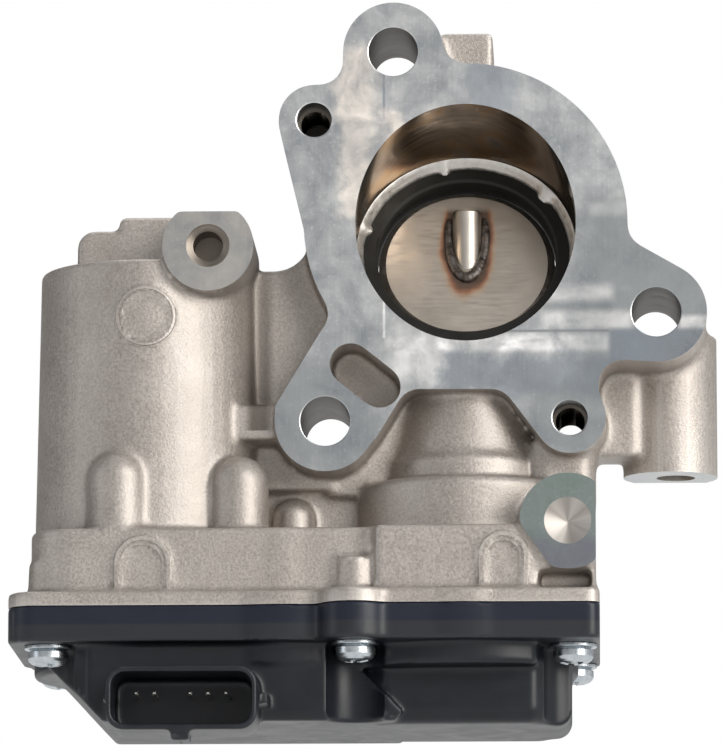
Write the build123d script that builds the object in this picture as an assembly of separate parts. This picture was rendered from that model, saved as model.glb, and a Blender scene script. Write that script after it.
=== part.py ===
from build123d import *
import math
import os

# Electric exhaust-gas recirculation valve with a skewed butterfly disc. Millimetres.
# Frame: origin at the centre of the gas port on the mounting flange's machined face.
# +X to the right along the flange, +Y from that face into the valve, +Z up the shaft.
# The shaft, the intermediate gear and the motor stand on three parallel vertical axes,
# and a plastic cover closes the gear tray at the bottom.

# ---------------------------------------------------------------- driving dimensions
FLANGE_DEPTH = 25.5          # front machined face to rear machined face
PORT_R = 18.8                # inclined gas port, front of the seat
PORT_TILT = 23.5             # the gas path slopes down towards the rear, degrees
OUTLET_R = 17.3              # gas path behind the seat
COLLAR_R = 27.6              # flange round the port
COLLAR_WALL = 4.2            # casting round the inclined gas path

BOLT_R = 4.25                # clearance hole for an M8 bolt
BOLT_LUG_R = 8.6
TAP_R = 2.5                  # core of an M6 thread
TAP_LUG_R = 6.1
TAP_DEPTH = 18.0
TOP_BOLT = (-12.3, 29.7)     # x, z of the holes on the flange face
RIGHT_BOLT = (32.4, -15.7)
LOW_BOLT = (-23.9, -34.2)
LEFT_TAP = (-25.8, 17.9)
LOW_TAP = (17.65, -33.8)
OUTLINE_BLEND = 4.0          # inside corner radius of the flange outline

SHAFT_Y = 14.0               # depth of the three vertical axes behind the flange face
SHAFT_R = 2.5
SHAFT_TOP = 4.4
MOTOR_X = -54.5              # motor axis

SEAT_DEPTH = 10.2            # along the port to the front of the seat ring
SEAT_LENGTH = 6.0
SEAT_OUTER_R = 18.6
SEAT_BORE_R = 15.35
LIP_R = 18.0                 # edge of the lip staked over the ring
LIP_LENGTH = 1.9
DISC_R = 15.15
DISC_FACE_R = 13.9
DISC_DEPTH = 13.0            # along the port to the disc's front face
DISC_THICKNESS = 2.0

JOINT_Z = -66.8              # plane between casting and cover
TRAY_TOP = -53.4             # outside of the tray's ceiling
TRAY_CEILING = -55.9         # inside of the tray's ceiling
RIM_THICKNESS = 2.5          # machined rim over the joint
COVER_FLANGE = 6.1           # thickness of the cover's flange
COVER_WALL = 2.2
DOME_BOTTOM = -86.0          # underside of the cover over the motor side
DRUM_BOTTOM = -86.2          # underside of the cover under the shaft
STEP_BOTTOM = -76.8          # underside of the cover's step under the sector gear

TRAY_LEFT = -73.6
TRAY_RIGHT = 21.9
TRAY_FRONT = -8.5
TRAY_REAR = 28.5              # straight ends of tray and rim; between them both follow the chamber
RIM_MARGIN = 3.5             # rim past the tray wall at the left
FRONT_RIM = 1.5              # rim past the tray wall at the front
FRONT_STEP = 3.0             # right part of tray and rim stands this much further forward
STEP_X = -15.0               # where that step starts

BARREL_R_LOW = 19.6
BARREL_R_TOP = 18.8
BARREL_TOP = -6.8
BARREL_BORE_R = 16.7
BARREL_BORE_TOP = -10.0

MODULE_FAST = 0.8            # motor pinion and large intermediate gear
PINION_TEETH = 12
WHEEL_TEETH = 48
FAST_SHIFT = 0.35            # profile shift, plus on the pinion and minus on the wheel
MODULE_SLOW = 1.0            # small intermediate gear and sector
SMALL_TEETH = 19
SECTOR_TEETH = 42            # teeth that a full sector wheel would have
BACKLASH = 0.14              # taken off each tooth's thickness at the pitch circle
PRESSURE_ANGLE = 20.0
SWING = 85.0                 # travel of the butterfly, degrees

PIN_R = 2.0                  # pin of the intermediate gear
RUNNING_GAP = 0.03           # radial gap of a turning fit
SMALL_GAP = 0.3              # axial gap between pieces that turn past each other

FAST_CENTRES = MODULE_FAST * (PINION_TEETH + WHEEL_TEETH) / 2
SLOW_CENTRES = MODULE_SLOW * (SMALL_TEETH + SECTOR_TEETH) / 2
IDLER_X = -SLOW_CENTRES      # axis of the intermediate gear
assert abs(IDLER_X - FAST_CENTRES - MOTOR_X) < 0.01, "the motor axis lies a gear train from the shaft"

LOW = (Align.CENTER, Align.CENTER, Align.MIN)
parts = {}


# ---------------------------------------------------------------- small helpers
def post(x, y, z_low, z_high, radius):
    """Vertical cylinder."""
    return Pos(x, y, z_low) * Cylinder(radius, z_high - z_low, align=LOW)


def rod(x, z, y_front, y_rear, radius):
    """Cylinder along Y."""
    return Pos(x, y_front, z) * Rot(-90, 0, 0) * Cylinder(radius, y_rear - y_front, align=LOW)


def block(x, y, z):
    """Box between pairs of limits."""
    size = (x[1] - x[0], y[1] - y[0], z[1] - z[0])
    middle = (sum(x) / 2, sum(y) / 2, sum(z) / 2)
    return Pos(*middle) * Box(*size)


def tube(x, y, z_low, z_high, outer, inner):
    """Vertical tube."""
    return post(x, y, z_low, z_high, outer) - post(x, y, z_low, z_high, inner)


def upright(sketch, z_low, z_high):
    """Plan view sketch raised from z_low to z_high."""
    return extrude(Pos(0, 0, z_low) * sketch, amount=z_high - z_low)


def inward(sketch, y_front, y_rear):
    """Sketch in x and z, carried from y_front to y_rear."""
    plane = Plane(origin=(0, y_front, 0), x_dir=(1, 0, 0), z_dir=(0, -1, 0))
    return extrude(plane * sketch, amount=-(y_rear - y_front))


def on_port(shape, depth):
    """Shape built along +Z, laid on the gas port's axis at this depth from the face."""
    return Rot(-90 - PORT_TILT, 0, 0) * Pos(0, 0, depth) * shape


def polar(radius, degrees):
    return (radius * math.cos(math.radians(degrees)), radius * math.sin(math.radians(degrees)))


def round_slab(x, y, radius):
    """Rounded rectangle in plan between limits x and y."""
    w, h = x[1] - x[0], y[1] - y[0]
    return Pos(sum(x) / 2, sum(y) / 2) * RectangleRounded(w, h, radius)


def round_top(x, y, z_low, z_top, radius):
    """Vertical boss with a ball-shaped top."""
    return post(x, y, z_low, z_top - radius, radius) + Pos(x, y, z_top - radius) * Sphere(radius)


# ---------------------------------------------------------------- gear teeth
def involute(angle):
    return math.tan(angle) - angle


def tooth_points(teeth, module, shift, centre):
    """One tooth about the direction centre (degrees), from root to root, as x, y points."""
    alpha = math.radians(PRESSURE_ANGLE)
    pitch_r = module * teeth / 2
    base_r = pitch_r * math.cos(alpha)
    tip_r = pitch_r + module * (1 + shift)
    root_r = pitch_r - module * (1.25 - shift)
    width = module * (math.pi / 2 + 2 * shift * math.tan(alpha)) - BACKLASH / 2
    start_r = max(base_r, root_r)

    def half_angle(radius):
        return width / (2 * pitch_r) + involute(alpha) - involute(math.acos(base_r / radius))

    radii = [start_r + 0.001, (start_r + tip_r) / 2, tip_r]
    flank = [(root_r, half_angle(radii[0]))] + [(radius, half_angle(radius)) for radius in radii]
    side = [polar(radius, centre - math.degrees(turn)) for radius, turn in flank]
    other = [polar(radius, centre + math.degrees(turn)) for radius, turn in reversed(flank)]
    return side + other


def gear_face(teeth, module, shift, first, count=None):
    """Toothed outline about the origin; with a count, a sector closed through the centre."""
    points = []
    for index in range(count or teeth):
        points += tooth_points(teeth, module, shift, first + index * 360 / teeth)
    if count:
        points.append((0.0, 0.0))
    return make_face(Polyline(*points, close=True))


FAST_STEP = 360 / WHEEL_TEETH
SLOW_STEP = 360 / SECTOR_TEETH
SECTOR_COUNT = math.ceil(SWING / SLOW_STEP) + 4
SECTOR_LAST = 180 + 1.5 * SLOW_STEP                        # last tooth's direction at rest
SECTOR_FIRST = SECTOR_LAST - (SECTOR_COUNT - 1) * SLOW_STEP
FLANK_CLOSED = SECTOR_FIRST - SLOW_STEP / 2                # straight sides of the sector
FLANK_OPEN = SECTOR_LAST + SLOW_STEP / 2 + SWING
SECTOR_TIP_R = MODULE_SLOW * (SECTOR_TEETH / 2 + 1)
WHEEL_TIP_R = MODULE_FAST * (WHEEL_TEETH / 2 + 1 - FAST_SHIFT)

# ---------------------------------------------------------------- levels of the gear train
PLATE_THICKNESS = 1.5                                      # motor end plate
PLATE_LOW = TRAY_CEILING - PLATE_THICKNESS
WHEEL_Z = (-66.0, -60.0)                                   # large intermediate gear
SMALL_Z = (-73.6, -66.0)                                   # small intermediate gear
PINION_Z = (-66.3, -59.7)
SECTOR_Z = (-73.3, -67.3)
HUB_BOTTOM = -77.0
SHAFT_BOTTOM = -73.0

# ---------------------------------------------------------------- outlines in plan
WHEEL_GAP = 0.6              # gear tips to the chamber's wall
CHAMBER_BLEND = 4.0
END_PLATE_R = 17.1
EAR_R = 4.0
EAR_SPOTS = [(-38.5, 0.0), (-60.5, 34.2)]                  # motor screws
HOUSING_R = 16.6             # chamber round the return spring's side of the shaft
STOP_R = 2.2                 # radius of the two cast stops
STOP_REACH = 19.5            # their distance from the shaft
SCREW_SPOTS = [(-70.5, -3.0), (-18.5, -7.9), (18.0, -3.0), (-70.7, 30.0), (-22.5, 38.0), (18.0, 26.5)]
LOBE = (-18.6, -9.0)         # bulge of rim and cover round the middle front screw
LOBE_R = 6.3


def chamber_outline():
    """Plan of the gear chamber: three gear circles and the motor screws' ears."""
    sketch = Pos(MOTOR_X, SHAFT_Y) * Circle(END_PLATE_R + SMALL_GAP)
    sketch += Pos(IDLER_X, SHAFT_Y) * Circle(WHEEL_TIP_R + WHEEL_GAP)
    half = SECTOR_TIP_R + 0.8
    stop_side = STOP_REACH * math.cos(math.radians(70)) + STOP_R + 1.0
    sweep = Circle(half) & (Pos(stop_side - half, 0) * Rectangle(2 * half, 2 * half))
    sketch += Pos(0, SHAFT_Y) * sweep
    sketch += Pos(0, SHAFT_Y) * Circle(HOUSING_R)
    for x, y in EAR_SPOTS:
        sketch += Pos(x, y) * Circle(EAR_R + 0.4)
    return offset(offset(sketch, CHAMBER_BLEND), -CHAMBER_BLEND)


def rim_outline():
    """Plan of the machined rim and of the cover's flange."""
    left, right = TRAY_LEFT - RIM_MARGIN, TRAY_RIGHT + 0.6
    front, rear = TRAY_FRONT - FRONT_RIM, TRAY_REAR + 2.2
    step = front - FRONT_STEP
    slab = Pos((left + right) / 2, (front + rear) / 2) * Rectangle(right - left, rear - front)
    slab += Pos((STEP_X + right) / 2, (step + 0) / 2) * Rectangle(right - STEP_X, -step)
    slab = fillet(slab.vertices().filter_by(lambda v: v.X < left + 1), 5.0)
    slab = fillet(slab.vertices().filter_by(lambda v: v.X > right - 1), 2.0)
    slab += Pos(*LOBE) * Circle(LOBE_R)
    slab += offset(chamber_outline(), 4.6)
    for x, y in SCREW_SPOTS[3:5]:
        slab += Pos(x, y) * Circle(5.4)
    return offset(offset(slab, 2.0), -2.0)


def tray_outline():
    """Plan of the gear tray's outer wall."""
    slab = Pos((TRAY_LEFT + TRAY_RIGHT) / 2, (TRAY_FRONT + TRAY_REAR) / 2)
    slab = slab * Rectangle(TRAY_RIGHT - TRAY_LEFT, TRAY_REAR - TRAY_FRONT)
    step = TRAY_FRONT - FRONT_STEP
    slab += Pos((STEP_X + TRAY_RIGHT) / 2, step / 2) * Rectangle(TRAY_RIGHT - STEP_X, -step)
    slab = fillet(slab.vertices().filter_by(lambda v: v.X < TRAY_LEFT + 1), 8.0)
    slab = fillet(slab.vertices().filter_by(lambda v: v.X > TRAY_RIGHT - 1), 1.5)
    slab += offset(chamber_outline(), 2.4)
    return offset(offset(slab, 3.0), -3.0)


def flange_outline():
    """Front face of the mounting flange in x and z: round collar, three bolt lugs, two tapped lugs."""
    sketch = Circle(COLLAR_R)
    for x, z in (TOP_BOLT, RIGHT_BOLT, LOW_BOLT):
        sketch += Pos(x, z) * Circle(BOLT_LUG_R)
    for x, z in (LEFT_TAP, LOW_TAP):
        sketch += Pos(x, z) * Circle(TAP_LUG_R)
    webs = [
        [(TOP_BOLT[0] - BOLT_LUG_R, TOP_BOLT[1]), (TOP_BOLT[0] - BOLT_LUG_R, 15),
         (0, 15), (TOP_BOLT[0] + BOLT_LUG_R, TOP_BOLT[1])],
        [(LEFT_TAP[0], LEFT_TAP[1] + TAP_LUG_R), (-18, LEFT_TAP[1] + TAP_LUG_R), (-18, 0),
         (-27.8, 0), (LEFT_TAP[0] - TAP_LUG_R, LEFT_TAP[1] - 1)],
        [(LOW_BOLT[0] - BOLT_LUG_R, LOW_BOLT[1] + 2.5), (-24.6, -18.6), (-10, -18.6),
         (-6.9, -28.3), (-10.5, -29.3), (LOW_BOLT[0] + BOLT_LUG_R, LOW_BOLT[1] - 3)],
        [(-6.9, -28.8), (6.3, -28.8), (LOW_TAP[0] - 5.0, LOW_TAP[1] - 3.5), LOW_TAP,
         (LOW_TAP[0] + TAP_LUG_R - 1.2, LOW_TAP[1] + 3.5), (22.4, -24), (22, -15), (-6.9, -20)],
        [(24.5, -23.8), (RIGHT_BOLT[0] - 1.5, RIGHT_BOLT[1] - BOLT_LUG_R + 0.1), RIGHT_BOLT,
         (RIGHT_BOLT[0] + 4.2, RIGHT_BOLT[1] + 7.5), (28.6, -3.6), (24, 0)],
    ]
    for points in webs:
        sketch += make_face(Polyline(*points, close=True))
    return offset(offset(sketch, OUTLINE_BLEND), -OUTLINE_BLEND)


# ---------------------------------------------------------------- the casting
NECK_R = 13.4                # bearing tower, widening from the gas port down to the tray
NECK_TOP_R = 9.5
NECK_Z = (-41.0, -22.0)
STEP_ONE = (14.2, -39.3)     # radius, top
SPRING_HOUSE = (19.0, -44.0)
SPRING_BORE_R = 16.0
SPRING_ROOF = -46.8
BUSH_R = 4.5
BUSH_Z = (-38.0, -28.0)
SEAL_R = 6.0
SEAL_Z = (-42.2, -38.5)
BEARING_R = 7.0
BEARING_Z = (-56.0, -51.0)
SPINDLE_TUBE_R = 9.0         # cast tube that holds the ball bearing
SPINDLE_TUBE_END = -57.0

LEFT_PAD = (-43.6, -4.9)     # x, z of the machined pads
LEFT_PAD_R = 7.75
LEFT_PAD_FRONT = -6.0
LEFT_PAD_TOP = 1.0
RIGHT_PAD = (17.2, -53.1)
RIGHT_PAD_R = 8.1
RIGHT_PAD_FRONT = -12.2
PAD_HOLE_R = 2.55
PAD_HOLE_DEPTH = 6.6
PAD_DISH_R = 3.95
SIDE_BOSS = (34.8, 20.0)     # x, y of the boss under the right bolt lug
SIDE_BOSS_R = 8.1
SIDE_BOSS_LOW = -41.4
SIDE_TAP_R = 3.4             # core of an M8 thread
SIDE_TAP_DEPTH = 15.0
PIN_TOP = -48.5
PIN_SEAT_END = -59.2
SCREW_CORE_R = 1.65          # tapped holes for the cover screws
SCREW_REACH = 5.6            # shank of a cover screw above the joint plane
MOTOR_SCREW_R = 1.25
SLOT_ENDS = [(-19.6, -24.4), (-14.6, -28.4)]
SLOT_R = 3.6
SLOT_DEPTH = 9.0
MARK = 0.4                   # ejector marks stand this proud of the casting


WIRE_R = 0.9                 # return spring
COIL_R = 12.5
COIL_PITCH = 2.4
COIL_TURNS = 4
LEG_TOP = -48.4              # centre of the wire at the coil's upper end
LEG_LOW = LEG_TOP - COIL_PITCH * COIL_TURNS
LEG_ANGLE = 30.0             # both legs of the spring point this way
LEG_REACH = 17.4             # upper leg ends here, in a notch of the casting
LEG_INNER = 8.9              # lower leg ends here, in a slot of the sector gear


def at_spring_leg(shape):
    """Shape built along +X, turned to the spring legs' direction on the shaft's axis."""
    return Pos(0, SHAFT_Y) * Rot(0, 0, LEG_ANGLE) * shape


def smooth_post(x, y, z_low, z_high, radius, edge):
    """Vertical boss with a rounded top edge."""
    boss = post(x, y, z_low, z_high, radius)
    return fillet(boss.edges().group_by(Axis.Z)[-1], edge)


def motor_barrel():
    """Drafted barrel with a rounded top edge, the raised blocks and the ejector ring on it."""
    height = BARREL_TOP - TRAY_TOP
    barrel = Pos(MOTOR_X, SHAFT_Y, TRAY_TOP) * Cone(BARREL_R_LOW, BARREL_R_TOP, height, align=LOW)
    barrel = fillet(barrel.edges().group_by(Axis.Z)[-1], 0.7)
    low_block = block((-66.6, -57), (5, 25), (BARREL_TOP - 3, -0.2))
    low_block = fillet(low_block.edges().filter_by(Axis.Y).group_by(Axis.Z)[-1], 3.0)
    low_block = fillet(low_block.edges().group_by(Axis.Z)[-1], 0.8)
    high_block = block((-59.4, -40), (5, 25), (BARREL_TOP - 3, 2.2))
    high_block = fillet(high_block.edges().group_by(Axis.Z)[-1], 1.2)
    body = barrel + low_block + high_block
    for x, y, top, radius in ((-58.8, -3.2, -39.6, 5.1), (-38.4, -0.5, -40.3, 4.95),
                              (-60.5, 34.2, -40.6, 4.75)):
        body += round_top(x, y, TRAY_CEILING - 2, top, radius)
    return body


def ejector_ring():
    """Raised circle that an ejector sleeve leaves on the front of the barrel."""
    x, z = -54.2, -16.8
    front = SHAFT_Y - BARREL_R_TOP - 1.0
    ring = rod(x, z, front, front + 4, 5.1) - rod(x, z, front, front + 4, 4.4)
    height = BARREL_TOP - TRAY_TOP
    skin = Pos(MOTOR_X, SHAFT_Y, TRAY_TOP) * Cone(BARREL_R_LOW + MARK, BARREL_R_TOP + MARK, height, align=LOW)
    return ring & skin


def ejector_arches():
    """Raised arches that two ejectors leave on the front wall of the tray, over the rim."""
    marks = []
    right_wall = TRAY_FRONT - FRONT_STEP
    for x, top, radius, wall in ((-54.3, -55.1, 4.6, TRAY_FRONT), (6.4, -55.0, 3.95, right_wall)):
        centre = top - radius
        arch = Pos(x, centre) * Circle(radius)
        arch += Pos(x, (centre + JOINT_Z) / 2) * Rectangle(2 * radius, centre - JOINT_Z)
        arch -= offset(arch, -0.8)
        marks.append(inward(arch, wall - MARK, wall + 0.5))
    return marks


def bearing_tower():
    """Neck under the port, the step over the seal and the wide house of the return spring."""
    low, high = NECK_Z
    tower = Pos(0, SHAFT_Y, low) * Cone(NECK_R, NECK_TOP_R, high - low, align=LOW)
    tower += smooth_post(0, SHAFT_Y, TRAY_CEILING, STEP_ONE[1], STEP_ONE[0], 1.8)
    tower += smooth_post(0, SHAFT_Y, TRAY_CEILING, SPRING_HOUSE[1], SPRING_HOUSE[0], 1.6)
    return tower


def flange_and_port():
    """Flange block and the collar round the inclined gas path behind it."""
    plate = inward(flange_outline(), 0, FLANGE_DEPTH)
    collar = on_port(Cylinder(PORT_R + COLLAR_WALL, 60, align=LOW), -10)
    collar = collar & block((-40, 40), (4, FLANGE_DEPTH), (-45, 30))
    top_block = block((-4.5, 4.6), (9, FLANGE_DEPTH), (20, 34.8))
    top_block = fillet(top_block.edges().filter_by(Axis.Y).group_by(Axis.Z)[-1], 0.9)
    return plate + collar + top_block


def links():
    """Webs between barrel, flange and tower, with the boss of the intermediate pin."""
    web = block((-40, -22), (8, 21), (-45, BARREL_TOP))
    web = fillet(web.edges().filter_by(Axis.Z).group_by(Axis.Y)[0], 1.0)
    crook = block((-33, -26.5), (8, 21), (BARREL_TOP - 1, -0.5))
    crook -= rod(-33, -0.5, 0, 30, 6.3)
    under = block((-40, -8), (10, 24), (TRAY_CEILING, -30))
    bar = block((-44, -28), (1.8, 18), (-37.1, -31.0))
    bar = fillet(bar.edges().filter_by(Axis.X).group_by(Axis.Y)[0], 0.6)
    shoulder = block((8, 22), (9, 24), (-46, -28))
    points = [(-13, -26), (8, -26), (14.5, -33), (20.5, -46), (-24, -46), (-14.5, -36)]
    apron = inward(make_face(Polyline(*points, close=True)), 8.5, 23)
    pin_boss = round_top(IDLER_X, SHAFT_Y, TRAY_CEILING, PIN_TOP + 2.6, 3.7)
    front_boss = round_top(IDLER_X + 0.9, 8.6, TRAY_CEILING, -46.4, 3.6)
    return web + crook + under + bar + shoulder + apron + pin_boss + front_boss


def side_boss():
    """Boss with a tapped hole from below, under the right bolt lug."""
    x, y = SIDE_BOSS
    boss = post(x, y, SIDE_BOSS_LOW, -17, SIDE_BOSS_R)
    boss = boss & block((20, 60), (0, FLANGE_DEPTH + 1.8), (-50, 0))
    rib = block((20.5, 30), (12.5, 23.5), (-38.6, -18))
    rib = fillet(rib.edges().filter_by(Axis.Z).group_by(Axis.Y)[0], 2.0)
    return boss + rib


def pads():
    """Two machined pads for clips: one beside the barrel's top, one at the tray's right end."""
    x, z = LEFT_PAD
    left = rod(x, z, LEFT_PAD_FRONT, 16, LEFT_PAD_R) & block((-60, -30), (-20, 20), (-20, LEFT_PAD_TOP))
    x, z = RIGHT_PAD
    right = rod(x, z, RIGHT_PAD_FRONT, 12, RIGHT_PAD_R)
    right = right & block((0, TRAY_RIGHT), (-20, 20), (-70, -30))
    corner = Plane(origin=(9.0, 0, -52.9), x_dir=(5.2, 0, -7.4), z_dir=(-7.4, 0, -5.2))
    right = split(right, bisect_by=corner, keep=Keep.BOTTOM)
    link = block((10.5, TRAY_RIGHT), (3.5, 24), (TRAY_CEILING, -37))
    link = fillet(link.edges().filter_by(Axis.Z).group_by(Axis.Y)[0], 3.0)
    return left + right + link


def tray():
    """Gear tray with its rim, screw bosses and ejector marks."""
    walls = upright(tray_outline(), JOINT_Z, TRAY_TOP)
    walls = fillet(walls.edges().group_by(Axis.Z)[-1], 0.8)
    rim = upright(rim_outline(), JOINT_Z, JOINT_Z + RIM_THICKNESS)
    body = walls + rim
    for x, y in SCREW_SPOTS:
        body += Pos(x, y, JOINT_Z) * Cone(3.6, 3.3, 8.0, align=LOW)
    return body


def cast_blank():
    """The casting before machining."""
    body = tray() + motor_barrel() + bearing_tower()
    body += flange_and_port()
    body += links()
    body += side_boss() + pads()
    body += ejector_ring()
    for arch in ejector_arches():
        body += arch
    return body


def valve_body():
    body = cast_blank()
    # gas path, with the lip that is staked over the seat ring
    body -= on_port(Cylinder(PORT_R, SEAT_DEPTH - LIP_LENGTH + 20, align=LOW), -20)
    body -= on_port(Cone(PORT_R, LIP_R, LIP_LENGTH, align=LOW), SEAT_DEPTH - LIP_LENGTH)
    body -= on_port(Cylinder(SEAT_OUTER_R, SEAT_LENGTH, align=LOW), SEAT_DEPTH)
    body -= on_port(Cylinder(OUTLET_R, 40, align=LOW), SEAT_DEPTH + SEAT_LENGTH) & block(
        (-40, 40), (0, FLANGE_DEPTH + 1), (-60, 40))
    # rear machined face
    body -= block((-34, 60), (FLANGE_DEPTH, 60), (SPRING_HOUSE[1] + 0.3, 60))
    # bolt holes, tapped holes and the blind slot on the flange
    for x, z in (TOP_BOLT, RIGHT_BOLT, LOW_BOLT):
        body -= rod(x, z, -1, FLANGE_DEPTH + 20, BOLT_R)
    for x, z in (LEFT_TAP, LOW_TAP):
        depth = TAP_DEPTH if x < 0 else FLANGE_DEPTH + 1
        body -= rod(x, z, -1, depth, TAP_R)
        body -= Pos(x, 0, z) * Rot(-90, 0, 0) * Cone(TAP_R + 0.55, TAP_R, 0.55, align=LOW)
    (x0, z0), (x1, z1) = SLOT_ENDS
    slot = Pos((x0 + x1) / 2, (z0 + z1) / 2) * Rot(0, 0, math.degrees(math.atan2(z1 - z0, x1 - x0)))
    slot = slot * SlotCenterToCenter(math.dist(*SLOT_ENDS), 2 * SLOT_R)
    body -= inward(slot, -1, SLOT_DEPTH)
    # pads
    x, z = LEFT_PAD
    body -= rod(x, z, LEFT_PAD_FRONT - 1, LEFT_PAD_FRONT + PAD_HOLE_DEPTH, PAD_HOLE_R)
    body -= Pos(x, LEFT_PAD_FRONT, z) * Rot(-90, 0, 0) * Cone(3.65, PAD_HOLE_R, 1.1, align=LOW)
    x, z = RIGHT_PAD
    body -= Pos(x, RIGHT_PAD_FRONT, z) * Rot(-90, 0, 0) * Cone(PAD_DISH_R, 0.4, 2.2, align=LOW)
    # side boss
    x, y = SIDE_BOSS
    body -= post(x + 0.9, y, SIDE_BOSS_LOW - 1, SIDE_BOSS_LOW + SIDE_TAP_DEPTH, SIDE_TAP_R)
    # recess under the right pad
    body -= block((12.2, TRAY_RIGHT - 0.7), (-20, -6.2), (JOINT_Z + RIM_THICKNESS, -61.3))
    # gear chamber, motor bore and spring house
    body -= upright(chamber_outline(), JOINT_Z - 1, TRAY_CEILING)
    body -= post(MOTOR_X, SHAFT_Y, TRAY_CEILING - 1, BARREL_BORE_TOP, BARREL_BORE_R)
    house = post(0, SHAFT_Y, TRAY_CEILING - 1, SPRING_ROOF, SPRING_BORE_R)
    body -= house - post(0, SHAFT_Y, TRAY_CEILING - 1, SPRING_ROOF, SPINDLE_TUBE_R)
    body += tube(0, SHAFT_Y, SPINDLE_TUBE_END, TRAY_CEILING + 0.5, SPINDLE_TUBE_R, BEARING_R)
    body -= at_spring_leg(block((SPRING_BORE_R - 1, LEG_REACH + 0.2), (-1.1, 1.1), (LEG_TOP - 1.1, SPRING_ROOF)))
    # pin boss and the two stops of the sector gear, cast on the chamber's ceiling
    body += post(IDLER_X, SHAFT_Y, PIN_SEAT_END, TRAY_CEILING + 0.5, PIN_R + 2)
    for x, y in stop_spots():
        body += post(x, y, SECTOR_Z[0], TRAY_CEILING + 1, STOP_R)
    # bores on the shaft's axis
    body -= post(0, SHAFT_Y, BUSH_Z[0] - 1, -15, SHAFT_R + 0.4)
    body -= post(0, SHAFT_Y, SEAL_Z[1], BUSH_Z[1], BUSH_R)
    body -= post(0, SHAFT_Y, BEARING_Z[1], SEAL_Z[1], SEAL_R)
    body -= post(0, SHAFT_Y, SPINDLE_TUBE_END - 1, BEARING_Z[1], BEARING_R)
    # pin, cover screws and motor screws
    body -= post(IDLER_X, SHAFT_Y, PIN_SEAT_END - 1, PIN_TOP, PIN_R)
    for x, y in SCREW_SPOTS:
        body -= post(x, y, JOINT_Z - 1, JOINT_Z + SCREW_REACH + 0.8, SCREW_CORE_R)
    for x, y in EAR_SPOTS:
        body -= post(x, y, TRAY_CEILING - 1, TRAY_CEILING + 9, MOTOR_SCREW_R)
    return body


def stop_spots():
    """Centres of the stops, a hair past the sector's straight sides at both ends of its swing."""
    turn = math.degrees(math.asin((STOP_R + SMALL_GAP) / STOP_REACH))
    for angle in (FLANK_CLOSED - turn, FLANK_OPEN + turn):
        x, y = polar(STOP_REACH, angle)
        yield x, SHAFT_Y + y


# ---------------------------------------------------------------- gas side
def seat_ring():
    ring = Cylinder(SEAT_OUTER_R, SEAT_LENGTH, align=LOW) - Cylinder(SEAT_BORE_R, SEAT_LENGTH, align=LOW)
    ring = chamfer(ring.edges().sort_by(Axis.Z)[0:2].sort_by(SortBy.LENGTH)[0], 0.4)
    return on_port(ring, SEAT_DEPTH)


def valve_shaft():
    shaft = post(0, SHAFT_Y, SHAFT_BOTTOM, SHAFT_TOP, SHAFT_R)
    return chamfer(shaft.edges().filter_by(GeomType.CIRCLE), 0.35)


def disc_blank():
    """Disc along +Z: flat face, a bevel out to the sealing edge and a small rear bevel."""
    bevel = Cone(DISC_FACE_R, DISC_R, 1.0, align=LOW)
    edge = Pos(0, 0, 1.0) * Cylinder(DISC_R, DISC_THICKNESS - 1.4, align=LOW)
    back = Pos(0, 0, DISC_THICKNESS - 0.4) * Cone(DISC_R, DISC_R - 0.5, 0.4, align=LOW)
    return bevel + edge + back


def valve_disc():
    disc = on_port(disc_blank(), DISC_DEPTH)
    return disc - post(0, SHAFT_Y, -30, 30, SHAFT_R)


def weld_bead():
    """Fillet weld round the shaft where it comes out of the disc's front face."""
    ring = post(0, SHAFT_Y, -30, SHAFT_TOP - 0.6, SHAFT_R + WELD_WIDTH)
    ring -= post(0, SHAFT_Y, -31, 30, SHAFT_R)
    skin = on_port(Box(20, 40, WELD_HEIGHT, align=LOW), DISC_DEPTH - WELD_HEIGHT)
    return ring & skin


WELD_WIDTH = 1.1
WELD_HEIGHT = 0.9


# ---------------------------------------------------------------- shaft bearings, seal and spring
BALL_R = 1.05
BALL_CIRCLE = 4.7
BALLS = 8


def upper_shaft_bush():
    return tube(0, SHAFT_Y, BUSH_Z[0], BUSH_Z[1], BUSH_R, SHAFT_R + RUNNING_GAP)


def shaft_seal():
    """Lip seal: rubber ring with a groove that frees its lip."""
    ring = tube(0, SHAFT_Y, SEAL_Z[0], SEAL_Z[1], SEAL_R, SHAFT_R + RUNNING_GAP)
    return ring - tube(0, SHAFT_Y, SEAL_Z[0], SEAL_Z[0] + 2.2, SEAL_R - 0.9, SHAFT_R + 0.8)


def ball_track(gap):
    middle = sum(BEARING_Z) / 2
    return Pos(0, SHAFT_Y, middle) * Torus(BALL_CIRCLE, BALL_R + gap)


def bearing_outer_ring():
    return tube(0, SHAFT_Y, BEARING_Z[0], BEARING_Z[1], BEARING_R, BALL_CIRCLE + 0.7) - ball_track(0)


def bearing_inner_ring():
    ring = tube(0, SHAFT_Y, BEARING_Z[0], BEARING_Z[1], BALL_CIRCLE - 0.7, SHAFT_R)
    return ring - ball_track(RUNNING_GAP)


def bearing_balls():
    balls = []
    for index in range(BALLS):
        x, y = polar(BALL_CIRCLE, index * 360 / BALLS)
        balls.append(Pos(x, SHAFT_Y + y, sum(BEARING_Z) / 2) * Sphere(BALL_R))
    return Compound(children=balls)


SLEEVE_R = 11.2


def spring_sleeve():
    """Plastic sleeve between the cast tube and the coil, with a flange under the house's roof."""
    seat = LEG_TOP + WIRE_R
    sleeve = tube(0, SHAFT_Y, SPINDLE_TUBE_END + 0.3, SPRING_ROOF, SLEEVE_R, SPINDLE_TUBE_R)
    sleeve += tube(0, SHAFT_Y, seat, SPRING_ROOF, SPRING_BORE_R - 0.6, SPINDLE_TUBE_R)
    return sleeve


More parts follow.
